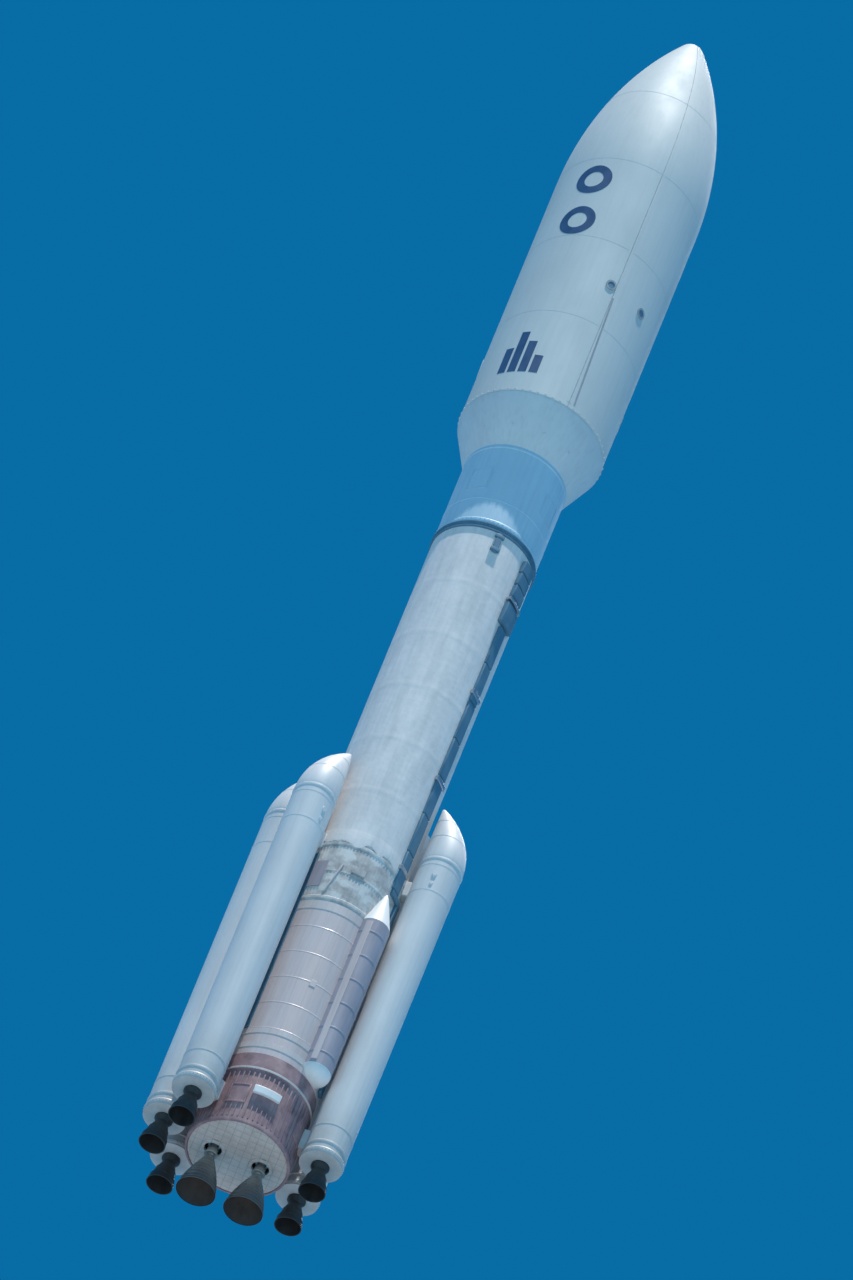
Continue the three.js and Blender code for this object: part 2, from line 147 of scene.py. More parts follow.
class Pattern:
    """The nodes of one material, whose patterns start from a point's place on its object."""

    def __init__(self, tree: bpy.types.NodeTree) -> None:
        """Takes an empty node tree."""
        self.tree = tree
        self.place = add_node(tree, "TexCoord").outputs["Object"]

    def add(self, kind: str, inputs: dict[Any, Any], **settings: Any) -> Socket:
        """Adds a node and returns its first output."""
        return add_node(self.tree, kind, inputs, **settings).outputs[0]

    def axes(self) -> Sequence[Socket]:
        """Returns the place's x, y and z."""
        return add_node(self.tree, "SeparateXYZ", {0: self.place}).outputs

    def sum_of(self, operation: str, first: Socket, second: Union[Socket, float]) -> Socket:
        """Returns the result of a Math node's operation on two values."""
        return self.add("Math", {0: first, 1: second}, operation=operation)

    def speckle(self, size_mm: float, detail: float, roughness: float = 0.5, upright: float = 1.0) -> Socket:
        """Returns noise in soft patches.

        Args:
            size_mm: The patches' real width.
            detail: How many finer layers they have.
            roughness: How strong those layers are.
            upright: The scale of heights, which is small where the patches are long.

        Returns:
            The noise, from 0 to 1.
        """
        place = self.place
        if upright != 1.0:
            place = self.add("Mapping", {"Vector": place, "Scale": (1, 1, upright)})
        inputs = {"Vector": place, "Scale": self.scale(size_mm), "Detail": detail, "Roughness": roughness}
        return self.add("TexNoise", inputs)

    def cells(
        self, size_mm: float, randomness: float = 1.0, place: Optional[Socket] = None, **settings: Any
    ) -> Socket:
        """Returns how far a point is from the middle of its cell, as a share of the cells' width."""
        inputs = {"Vector": place or self.place, "Scale": self.scale(size_mm), "Randomness": randomness}
        return self.add("TexVoronoi", inputs, **settings)

    def scale(self, real_mm: float) -> float:
        """Returns the scale of a pattern that repeats every so many real millimetres."""
        return 1000.0 / (real_mm * SCALE)

    def ranged(self, value: Socket, start: float, end: float, most: float = 1.0) -> Socket:
        """Returns a factor that grows from 0 to its most while a value goes from a start to an end."""
        return self.add("MapRange", {"Value": value, "From Min": start, "From Max": end, "To Max": most})

    def blend(self, factor: Socket, low: Union[Socket, str], high: str) -> Socket:
        """Mixes two colours.

        Args:
            factor: The second colour's share.
            low: The first colour, in hex or from a socket.
            high: The second colour, in hex.

        Returns:
            The mixed colour.
        """
        first = linear(low) if isinstance(low, str) else low
        inputs = {MIX_FACTOR: factor, MIX_LOW: first, MIX_HIGH: linear(high)}
        return add_node(self.tree, "Mix", inputs, data_type="RGBA").outputs[MIX_OUT]

    def bump(
        self,
        height: Socket,
        depth_mm: float,
        strength: float = 1.0,
        under: Optional[Socket] = None,
        invert: bool = False,
    ) -> Socket:
        """Makes a relief.

        Args:
            height: Its height, from 0 to 1.
            depth_mm: Its full depth on the real rocket.
            strength: How much of it shows.
            under: The normal of a relief that lies under it.
            invert: Whether it is turned inwards.

        Returns:
            The normal.
        """
        inputs = {"Height": height, "Strength": strength, "Distance": depth_mm * SCALE / 1000.0}
        if under is not None:
            inputs["Normal"] = under
        return self.add("Bump", inputs, invert=invert)


@dataclass(frozen=True)
class Finish:
    """A surface with two tones in soft patches, run marks down it and a fine grain."""

    name: str
    colour: str
    shade: str
    roughness: float
    metallic: float = 0.0
    patch_mm: float = 1600.0
    patch_stretch: float = 2.0
    run_mm: float = 130.0
    run_amount: float = 0.12
    run_squeeze: float = 0.03
    run_colour: str = "#4a4640"
    grain_mm: float = 45.0
    grain_depth_mm: float = 1.2
    roughness_swing: float = 0.08

    def material(self) -> bpy.types.Material:
        """Builds the material.

        Returns:
            The material, with its pattern on Object coordinates.
        """
        material = bpy.data.materials.new(self.name)
        material.use_nodes = True
        material.node_tree.nodes.clear()
        pattern = Pattern(material.node_tree)
        patches = pattern.speckle(self.patch_mm, 5.0, 0.6, 1 / self.patch_stretch)
        tone = pattern.ranged(patches, 0.34, 0.66)
        duller = {
            "Value": tone,
            "To Min": self.roughness - self.roughness_swing,
            "To Max": self.roughness + self.roughness_swing,
        }
        surface = {
            "Base Color": self.colours(pattern, tone),
            "Roughness": pattern.add("MapRange", duller),
            "Metallic": self.metallic,
            "Normal": self.relief(pattern),
        }
        add_node(pattern.tree, "OutputMaterial", {"Surface": pattern.add("BsdfPrincipled", surface)})
        material.diffuse_color = linear(self.colour)
        return material

    def colours(self, pattern: Pattern, tone: Socket) -> Socket:
        """Lays both tones, then the run marks that darken them.

        Args:
            pattern: The material's nodes.
            tone: The factor of the soft patches.

        Returns:
            The colour.
        """
        runs = pattern.speckle(self.run_mm, 3.0, upright=self.run_squeeze)
        amount = pattern.ranged(runs, 0.45, 0.75, self.run_amount)
        return pattern.blend(amount, pattern.blend(tone, self.colour, self.shade), self.run_colour)

    def relief(self, pattern: Pattern) -> Socket:
        """Returns the normal of the fine grain."""
        return pattern.bump(pattern.speckle(self.grain_mm, 4.0), self.grain_depth_mm)


@dataclass(frozen=True)
class SootedPaint(Finish):
    """Paint that darkens towards a foot that stands next to the exhaust."""

    soot: str = "#8d8378"
    soot_top: float = 3.5
    soot_bottom: float = 0.2
    soot_most: float = 0.75
    soot_mm: float = 500.0

    def colours(self, pattern: Pattern, tone: Socket) -> Socket:
        """Lays the paint, and soot over it below the top level.

        Args:
            pattern: The material's nodes.
            tone: The factor of the soft patches.

        Returns:
            The colour.
        """
        level = pattern.axes()[2]
        low = pattern.ranged(level, self.soot_top * SCALE, self.soot_bottom * SCALE, self.soot_most)
        amount = pattern.sum_of("MULTIPLY", low, pattern.speckle(self.soot_mm, 5.0))
        return pattern.blend(amount, super().colours(pattern, tone), self.soot)


@dataclass(frozen=True)
class Frost(Finish):
    """Ice crust on a cold tank: a lumpy white layer with finer crystals on it."""

    lump_mm: float = 260.0
    lump_depth_mm: float = 9.0

    def relief(self, pattern: Pattern) -> Socket:
        """Returns the normal of the crystals, over that of the lumps."""
        lumps = pattern.bump(pattern.speckle(self.lump_mm, 6.0), self.lump_depth_mm)
        return pattern.bump(pattern.cells(self.grain_mm), self.grain_depth_mm, 0.6, lumps)


@dataclass(frozen=True)
class Mottled(Finish):
    """Insulation and primer in uneven fields of several browns and greys."""

    third: str = "#f2eae4"
    field_mm: float = 520.0

    def colours(self, pattern: Pattern, tone: Socket) -> Socket:
        """Returns the two tones, broken up by fields of the third."""
        share = pattern.ranged(pattern.speckle(self.field_mm, 6.0), 0.5, 0.62, 0.8)
        return pattern.blend(share, super().colours(pattern, tone), self.third)


@dataclass(frozen=True)
class Quilted(Finish):
    """A blanket sewn in squares, which puff up between the seams."""

    square_mm: float = 600.0
    puff_mm: float = 30.0
    # The darker colour along the seams is painted shade in the creases between the puffed squares.
    seam_shade: str = "#8e8d88"
    # The radius of the wall that the blanket lines, in real metres, or 0 on a flat disc.
    wall_radius: float = 0.0

    def from_middle(self, pattern: Pattern) -> Socket:
        """Measures how far a point is from the middle of its square.

        Args:
            pattern: The material's nodes.

        Returns:
            The distance, from 0 to a half at the seam.
        """
        x, y, z = pattern.axes()
        if self.wall_radius:
            turn = pattern.sum_of("ARCTAN2", y, x)
            x = pattern.sum_of("MULTIPLY", turn, self.wall_radius * SCALE)
            y = z
        flat = pattern.add("CombineXYZ", {0: x, 1: y})
        return pattern.cells(self.square_mm, 0.0, flat, voronoi_dimensions="2D", distance="CHEBYCHEV")

    def colours(self, pattern: Pattern, tone: Socket) -> Socket:
        """Returns the blanket's colour, darker along the seams as painted shade in the sewn creases."""
        seam = pattern.ranged(self.from_middle(pattern), 0.46, 0.495, 0.7)
        return pattern.blend(seam, super().colours(pattern, tone), self.seam_shade)

    def relief(self, pattern: Pattern) -> Socket:
        """Makes the creases on the puffed squares.

        Args:
            pattern: The material's nodes.

        Returns:
            The normal.
        """
        height = pattern.sum_of("POWER", self.from_middle(pattern), 2.0)
        # The squared distance is a quarter at the seam, so the depth is four times the puff.
        puff = pattern.bump(height, 4 * self.puff_mm, invert=True)
        return pattern.bump(pattern.speckle(self.grain_mm, 5.0), self.grain_depth_mm, 0.7, puff)


@dataclass(frozen=True)
class Woven(Finish):
    """Carbon cloth set in resin, its tows drawn coarser than real so that they show."""

    tow_mm: float = 30.0

    def relief(self, pattern: Pattern) -> Socket:
        """Returns the normal of tows that cross at right angles."""
        return pattern.bump(pattern.cells(self.tow_mm, 0.0, distance="MANHATTAN"), self.grain_depth_mm, 0.5)


@dataclass(frozen=True)
class HeatTinted(Finish):
    """Bare metal that heat has tinted in bands from one level down to another."""

    tint: str = "#5b4f4e"
    band_top: float = -0.3
    band_bottom: float = -2.2

    def colours(self, pattern: Pattern, tone: Socket) -> Socket:
        """Returns the metal's colour, turning to the tint towards the exit."""
        along = pattern.ranged(pattern.axes()[2], self.band_top * SCALE, self.band_bottom * SCALE, 0.7)
        return pattern.blend(along, super().colours(pattern, tone), self.tint)


# Sprayed polyurethane on a carbon sandwich: a clean, slightly warm white with a soft gloss.
FAIRING_PAINT = Finish("fairing_polyurethane_paint", "#dcddd9", "#d2d4d1", 0.6, run_amount=0.05)
# The same paint on metal rings and adapters, a little cooler and glossier.
STAGE_PAINT = Finish("stage_polyurethane_paint", "#e3e5e4", "#d8dada", 0.5, run_amount=0.08)
# The pod's caps and the aft cover: white paint, made brighter and warmer than the rest as painted light from
# the exhaust below them.
EXHAUST_LIT_CAP_PAINT = Finish("cap_paint_with_painted_exhaust_light", "#fffaf6", "#f8f0ea", 0.5, run_amount=0.05)
# The adapter's white, tinted a cool pale blue: painted shade, standing in for the fairing's shadow and the
# blue sky light that falls on the adapter.
SHADED_ADAPTER_PAINT = Finish("adapter_paint_with_painted_shade", "#c9e2ee", "#bdd8e6", 0.5, run_amount=0.08)
# Painted motor cases: matt white that the exhaust darkens at the foot.
CASE_PAINT = SootedPaint("motor_case_paint", "#f3ece8", "#e6dfdc", 0.5, run_amount=0.08)
# Ice on the cold upper tank: dull white with a lumpy skin.
FROST = Frost(
    "tank_frost", "#fdf0ea", "#e9dfda", 0.75, patch_mm=500, patch_stretch=4.0, run_amount=0.08, grain_mm=60
)
# Pale copper primer on the warm tank: satin and rosy, with a metal glint under it. The same colour paints the
# highlight strip up the pod's lit side.
BRONZE = Finish("bronze_primer", "#f6dcd6", "#e1c8c2", 0.4, 0.1, patch_mm=900, patch_stretch=5.0, run_mm=70)
# The pod's cover has a darker coat of primer, greyer and duller. The same colour makes the intertank's dark
# panels, which are painted shade beside the boosters.
POD_PRIMER_AND_PAINTED_SHADE = Finish("pod_primer_and_painted_shade", "#c0b3ba", "#aba0a9", 0.55, 0.05, patch_mm=700, patch_stretch=4.0)
# Foam and primer between the tanks: mottled browns and greys, quite matt.
INTERTANK = Mottled("intertank_insulation", "#e4dad3", "#b7afac", 0.7, 0.0, patch_mm=420, patch_stretch=1.0)
# Aluminium primer next to the engine: red-brown, stained by heat.
AFT = Mottled(
    "heat_stained_primer", "#c69b99", "#8f6d71", 0.55, 0.1, patch_mm=500, patch_stretch=1.5, third="#a98388"
)
# Moulded rubberised covers: slate blue and dull. The same colour makes the dark strips of painted shade
# beside the boosters.
RUBBER_AND_PAINTED_SHADE = Finish("rubber_cover_and_painted_shade", "#527d94", "#608aa0", 0.6, patch_mm=300, run_amount=0.05)
# Machined aluminium: bright, with faint tool marks.
ALUMINIUM = Finish("machined_aluminium", "#c9ccd0", "#b3b7bc", 0.32, 0.9, patch_mm=220, run_amount=0.04)
# Stainless sheet of the upper tank: bright and thin, with faint long ripples.
STAINLESS = Finish(
    "stainless_tank_sheet",
    "#cfcdc8",
    "#bbb8b2",
    0.22,
    0.95,
    patch_stretch=0.6,
    grain_mm=260,
    grain_depth_mm=3,
)
# Brazed steel tubes of the bells: warm grey with a dull shine, tinted brown by heat.
BELL = HeatTinted("brazed_bell_steel", "#b9aaa0", "#958479", 0.38, 0.6, patch_mm=400, run_mm=50)
# Sewn glass-fibre blanket round the engine: a pale tan in small squares, quite matt.
BLANKET = Quilted("glass_fibre_blanket", "#ead3c8", "#d0b8ab", 0.85, square_mm=300, puff_mm=16)
# Sound blankets inside the fairing: pale grey in large soft squares.
LINING = Quilted("sound_blanket", "#dfe0dd", "#cfd1cf", 0.8, run_amount=0.0, wall_radius=2.674)
# Carbon cloth of the nozzles and the payload adapter: charcoal, with a low gloss.
CARBON = Woven("carbon_cloth", "#2b2a2b", "#3b3938", 0.5, patch_mm=350, grain_depth_mm=1.5)
# Stencil paint of the plain marks: dark blue and matt.
MARK_PAINT = Finish("dark_blue_stencil_paint", "#1d4f78", "#285b85", 0.55, patch_mm=300, run_amount=0.06)
# Sealant in the seams: mid grey and matt.
SEALANT = Finish("grey_sealant", "#a5adb3", "#929aa1", 0.7, patch_mm=250)
# Metallic primer on the welded hoops: a lighter, pinker tone than the tank's.
HOOP_PRIMER = Finish("hoop_primer", "#ecdad4", "#decac4", 0.45, 0.1, patch_mm=500, run_mm=60)
# The studio's floor: pale and matt.
FLOOR_PAINT = Finish("pale_floor", "#d9dcde", "#d2d5d8", 0.8)


@cache
def material_of(finish: Finish) -> bpy.types.Material:
    """Returns a finish's material, which is made only once."""
    return finish.material()


def shifted(shape: Mesh, x: float = 0.0, y: float = 0.0, z: float = 0.0) -> Mesh:
    """Moves a piece and returns it."""
    bmesh.ops.translate(shape, vec=(x, y, z), verts=shape.verts)
    return shape


def rotated(shape: Mesh, radians: float, axis: str = "Z", centre: Sequence[float] = (0, 0, 0)) -> Mesh:
    """Turns a piece about an axis through a point and returns it."""
    bmesh.ops.rotate(shape, cent=centre, matrix=Matrix.Rotation(radians, 3, axis), verts=shape.verts)
    return shape


def leaning(shape: Mesh, lean: float) -> Mesh:
    """Slants an upright piece sideways by a share of its height and returns it."""
    for vert in shape.verts:
        vert.co.x += lean * vert.co.z
    return shape


def all_of(shape: Mesh) -> list[Any]:
    """Returns a piece's vertices, edges and faces."""
    return shape.verts[:] + shape.edges[:] + shape.faces[:]


def rim_of(cut: dict[str, Any]) -> list[bmesh.types.BMEdge]:
    """Returns the edges that a cut has opened."""
    return [item for item in cut["geom_cut"] if isinstance(item, bmesh.types.BMEdge)]


def spun(profile: Profile, segments: int = 96) -> Mesh:
    """Spins a profile about the Z axis.

    Args:
        profile: Points of (radius, level). It closes on itself unless both ends lie on the axis.
        segments: Steps round the full turn.

    Returns:
        The closed solid.
    """
    shape = bmesh.new()
    verts = [shape.verts.new((radius, 0.0, level)) for radius, level in profile]
    pairs = list(zip(verts, verts[1:]))
    if profile[0][0] > 0 or profile[-1][0] > 0:
        pairs.append((verts[-1], verts[0]))
    edges = [shape.edges.new(pair) for pair in pairs]
    bmesh.ops.spin(
        shape,
        geom=verts + edges,
        axis=(0, 0, 1),
        cent=(0, 0, 0),
        angle=2 * math.pi,
        steps=segments,
        use_merge=True,
    )
    bmesh.ops.remove_doubles(shape, verts=shape.verts, dist=1e-5)
    bmesh.ops.recalc_face_normals(shape, faces=shape.faces)
    return shape


def slab(
    width: float, height: float, thickness: float, rounding: float = 0.0, slice_at: float = 0.12
) -> Mesh:
    """Makes a flat plate that wrap() can bend.

    Args:
        width: Size along the wall.
        height: Size up the rocket.
        thickness: How far it stands out.
        rounding: Bevel of its edges.
        slice_at: Widest stretch without a bend.

    Returns:
        The plate, its middle at the origin and its back at y = 0.
    """
    shape = bmesh.new()
    bmesh.ops.create_cube(shape, size=1.0)
    bmesh.ops.scale(shape, vec=(width, thickness, height), verts=shape.verts)
    shifted(shape, y=thickness / 2)
    if rounding > 0:
        bmesh.ops.bevel(
            shape,
            geom=shape.edges[:],
            offset=rounding,
            offset_type="OFFSET",
            affect="EDGES",
            segments=2,
            profile=0.5,
            material=-1,
        )
    cuts = int(width // slice_at)
    for i in range(cuts):
        at = -width / 2 + width * (i + 1) / (cuts + 1)
        bmesh.ops.bisect_plane(shape, geom=all_of(shape), plane_co=(at, 0, 0), plane_no=(1, 0, 0))
    return shape


def wrap(shape: Mesh, radius: float, azimuth: float, level: float = 0.0, taper: float = 0.0) -> Mesh:
    """Bends a flat piece onto a round wall.

    Args:
        shape: The piece: x runs along the wall, y stands out from it and z is up.
        radius: The wall's radius at the level.
        azimuth: Where the piece's middle goes.
        level: Height of the piece's middle.
        taper: How much the wall's radius grows for each metre up.

    Returns:
        The same piece, bent.
    """
    for vert in shape.verts:
        wall = radius + taper * vert.co.z
        angle = math.radians(azimuth) + vert.co.x / radius
        reach = wall + vert.co.y
        vert.co = Vector((reach * math.sin(angle), -reach * math.cos(angle), level + vert.co.z))
    # The bend mirrors the piece, which turns it inside out.
    bmesh.ops.reverse_faces(shape, faces=shape.faces)
    return shape


def joined(parts: Iterable[Mesh]) -> Mesh:
    """Joins several pieces into one and frees them.

    Args:
        parts: The pieces.

    Returns:
        One piece with every part in it.
    """
    whole = bmesh.new()
    for part in parts:
        carrier = bpy.data.meshes.new("carrier")
        part.to_mesh(carrier)
        part.free()
        whole.from_mesh(carrier)
        bpy.data.meshes.remove(carrier)
    return whole


def around(shape: Mesh, count: int) -> Mesh:
    """Repeats a piece evenly round the Z axis.

    Args:
        shape: The piece, in place.
        count: How many there are in all.

    Returns:
        The same mesh with its copies.
    """
    bmesh.ops.spin(
        shape,
        geom=all_of(shape),
        axis=(0, 0, 1),
        cent=(0, 0, 0),
        angle=2 * math.pi * (count - 1) / count,
        steps=count - 1,
        use_duplicate=True,
    )
    return shape


def stud(size: float, height: float, sides: int = 8) -> Mesh:
    """Makes a round head that stands out along y.

    Args:
        size: Its diameter.
        height: How far it stands out.
        sides: Its number of sides.

    Returns:
        The head, its back at y = 0.
    """
    shape = bmesh.new()
    bmesh.ops.create_cone(
        shape, cap_ends=True, segments=sides, radius1=size / 2, radius2=size * 0.4, depth=height
    )
    return shifted(rotated(shape, -math.pi / 2, "X"), y=height / 2)


def frame_of(width: float, height: float, border: float, thickness: float) -> Mesh:
    """Makes a raised rectangular frame, such as the rim of a door.

    Args:
        width: Outer width.
        height: Outer height.
        border: Width of its bars.
        thickness: How far it stands out.

    Returns:
        The frame, its middle at the origin and its back at y = 0.
    """
    bars = []
    rounding = border * 0.2
    for side in (-1, 1):
        upright = slab(border, height, thickness, rounding)
        crossbar = slab(width - 2 * border, border, thickness, rounding)
        bars.append(shifted(upright, x=side * (width - border) / 2))
        bars.append(shifted(crossbar, z=side * (height - border) / 2))
    return joined(bars)


def flat_ring(outer: float, inner: float, thickness: float, stretch: float = 1.0, segments: int = 40) -> Mesh:
    """Makes a flat ring that stands out along y.

    Args:
        outer: Its outer radius.
        inner: Its inner radius, or 0 for a disc.
        thickness: How far it stands out.
        stretch: How much taller it is than wide.
        segments: Steps round it.

    Returns:
        The ring, its back at y = 0.
    """
    corners = [(inner, 0.0), (outer, 0.0), (outer, thickness), (inner, thickness)]
    shape = rotated(spun(corners, segments), -math.pi / 2, "X")
    bmesh.ops.scale(shape, vec=(1, 1, stretch), verts=shape.verts)
    return shape


def ribbed_wall(bottom: float, top: float, radius: float, ribs: Iterable[Rib]) -> Profile:
    """Lists a round wall's outline with ribs on it.

    Args:
        bottom: Its lower level.
        top: Its upper level.
        radius: The wall's radius.
        ribs: The ribs, from below. Each lies inside the wall with its run-out of a quarter of its width.

    Returns:
        The profile, from the axis at the bottom to the axis at the top.
    """
    points = [(0.0, bottom), (radius, bottom)]
    for level, width, proud in ribs:
        half, slope = width / 2, width / 4
        points.append((radius, level - half - slope))
        points.append((radius, level - half))
        points.append((radius + proud, level - half + slope))
        points.append((radius + proud, level + half - slope))
        points.append((radius, level + half))
        points.append((radius, level + half + slope))
    return [*points, (radius, top), (0.0, top)]


def hoop(level: float, width: float, radius: float, proud: float, segments: int = CORE_SEGMENTS) -> Mesh:
    """Makes a rounded hoop on a wall.

    Args:
        level: Its middle.
        width: Its width up the wall.
        radius: Its inner radius.
        proud: How far it stands out from there.
        segments: Steps round it.

    Returns:
        The hoop.
    """
    half, soft = width / 2, min(width, proud) * 0.35
    outline = [
        (radius, level - half),
        (radius + proud - soft, level - half),
        (radius + proud, level - half + soft),
        (radius + proud, level + half - soft),
        (radius + proud - soft, level + half),
        (radius, level + half),
    ]
    return spun(outline, segments)


def plates(rows: Iterable[Sequence[float]], radius: float, rounding: float) -> list[Mesh]:
    """Makes plates on a round wall.

    Args:
        rows: Their azimuth, level, width, height and thickness.
        radius: The wall's radius.
        rounding: Bevel of their edges.

    Returns:
        The plates.
    """
    return [
        wrap(slab(width, height, thickness, rounding), radius, azimuth, level)
        for azimuth, level, width, height, thickness in rows
    ]


def doors(places: Rows, leaf: Size, rim: Size, radius: float) -> list[Mesh]:
    """Makes doors with raised rims on a round wall.

    Args:
        places: Their azimuth and level.
        leaf: The slab of a door.
        rim: The width, height, border and thickness of the frame round it.
        radius: The wall's radius.

    Returns:
        Every door's leaf and rim.
    """
    parts = []
    for place in places:
        parts += [wrap(slab(*leaf), radius, *place), wrap(frame_of(*rim), radius, *place)]
    return parts


def new_object(name: str, shape: Mesh) -> bpy.types.Object:
    """Puts a mesh into the scene as an object and frees it.

    Args:
        name: The object's name.
        shape: Its mesh.

    Returns:
        The object.
    """
    mesh = bpy.data.meshes.new(name)
    shape.to_mesh(mesh)
    shape.free()
    thing = bpy.data.objects.new(name, mesh)
    bpy.context.scene.collection.objects.link(thing)
    return thing


def finish_piece(
    name: str,
    shape: Union[Mesh, list[Mesh]],
    slot: Slot,
    *finishes: Finish,
    body: str = CORE_BODY,
    node: str = "",
    sharp_degrees: float = 20.0,
) -> None:
    """Scales a piece to the model, gives it its materials and puts it on its body.

    Args:
        name: The piece's name.
        shape: Its mesh or meshes, in real metres, which are freed.
        slot: The record's slot; not used.
        *finishes: Its finishes, by the faces' material index.
        body: The body it rides on.
        node: The CAD node it stands for, if any.
        sharp_degrees: Edges sharper than this stay crisp.
    """
    if isinstance(shape, list):
        shape = joined(shape)
    bmesh.ops.scale(shape, vec=(SCALE, SCALE, SCALE), verts=shape.verts)
    piece = new_object(name, shape)
    piece.data.shade_smooth()
    piece.data.set_sharp_from_angle(angle=math.radians(sharp_degrees))
    for finish in finishes:
        piece.data.materials.append(material_of(finish))
    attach(piece, body)
    if node:
        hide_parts(node)
    LOG.info("%s on %s: %d faces", name, body, len(piece.data.polygons))


@dataclass(frozen=True)
class Section:
    """A section of the rocket, as the frame has it. Its radius counts only where it is round."""

    bottom: float
    top: float
    radius: float

    @classmethod
    def of(cls, node: str) -> "Section":
        """Reads a section from a CAD node, in real metres."""
        low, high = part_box(node)
        return cls(low.z / SCALE, high.z / SCALE, (high.x - low.x) / 2 / SCALE)

    @property
    def height(self) -> float:
        """Returns its height."""
        return self.top - self.bottom

    @property
    def middle(self) -> float:
        """Returns the level halfway up."""
        return (self.bottom + self.top) / 2

    def skin(self, ribs: Iterable[Rib]) -> Mesh:
        """Returns its round wall with ribs on it."""
        return spun(ribbed_wall(self.bottom, self.top, self.radius, ribs), CORE_SEGMENTS)

    def spaced(self, count: int, width: float, proud: float) -> list[Rib]:
        """Returns evenly spaced ribs up its wall."""
        step = self.height / (count + 1)
        return [(self.bottom + step * (i + 1), width, proud) for i in range(count)]

    def end_ribs(self, inset: float, width: float, proud: float) -> list[Rib]:
        """Returns a rib near each end, its middle at an inset from there."""
        return [(level, width, proud) for level in (self.bottom + inset, self.top - inset)]


@dataclass(frozen=True)
class Ogive:
    """A nose's outline: an arc that leaves the wall upright and ends on a ball."""

    radius: float
    length: float
    tip_radius: float

    @property
    def arc(self) -> float:
        """Returns the arc's radius."""
        return (self.radius**2 + self.length**2) / (2 * self.radius)

    def radius_at(self, height: float) -> float:
        """Returns the outline's radius at a height over the nose's base."""
        return math.sqrt(self.arc**2 - height**2) - (self.arc - self.radius)

    def points(self, base: float, inset: float, arc_steps: int, ball_steps: int) -> list[tuple[float, float]]:
        """Lists the outline.

        Args:
            base: Level of the nose's base.
            inset: How far it is moved in.
            arc_steps: Steps up the arc.
            ball_steps: Steps over the ball.

        Returns:
            Points of (radius, level), from the base up to the axis.
        """
        offset = self.arc - self.radius
        ball = math.sqrt((self.arc - self.tip_radius) ** 2 - offset**2)
        meeting = math.atan2(ball, offset)
        reach = self.arc - inset
        points = []
        for i in range(arc_steps + 1):
            angle = meeting * i / arc_steps
            points.append((reach * math.cos(angle) - offset, base + reach * math.sin(angle)))
        reach = self.tip_radius - inset
        for i in range(1, ball_steps):
            angle = meeting + (math.pi / 2 - meeting) * i / ball_steps
            points.append((reach * math.cos(angle), base + ball + reach * math.sin(angle)))
        return [*points, (0.0, base + ball + reach)]


def flare(throat: tuple[float, float], mouth: tuple[float, float], steps: int) -> list[tuple[float, float]]:
    """Lists a bell's wall, which widens fast at first and then less.

    Args:
        throat: Radius and level of its narrow end.
        mouth: Radius and level of its wide end.
        steps: Steps down it.

    Returns:
        Points of (radius, level), from the throat.
    """
    points = []
    for i in range(steps + 1):
        along = i / steps
        widening = 0.55 * math.sin(along * math.pi / 2) + 0.45 * along
        points.append(
            (throat[0] + (mouth[0] - throat[0]) * widening, throat[1] + (mouth[1] - throat[1]) * along)
        )
    return points


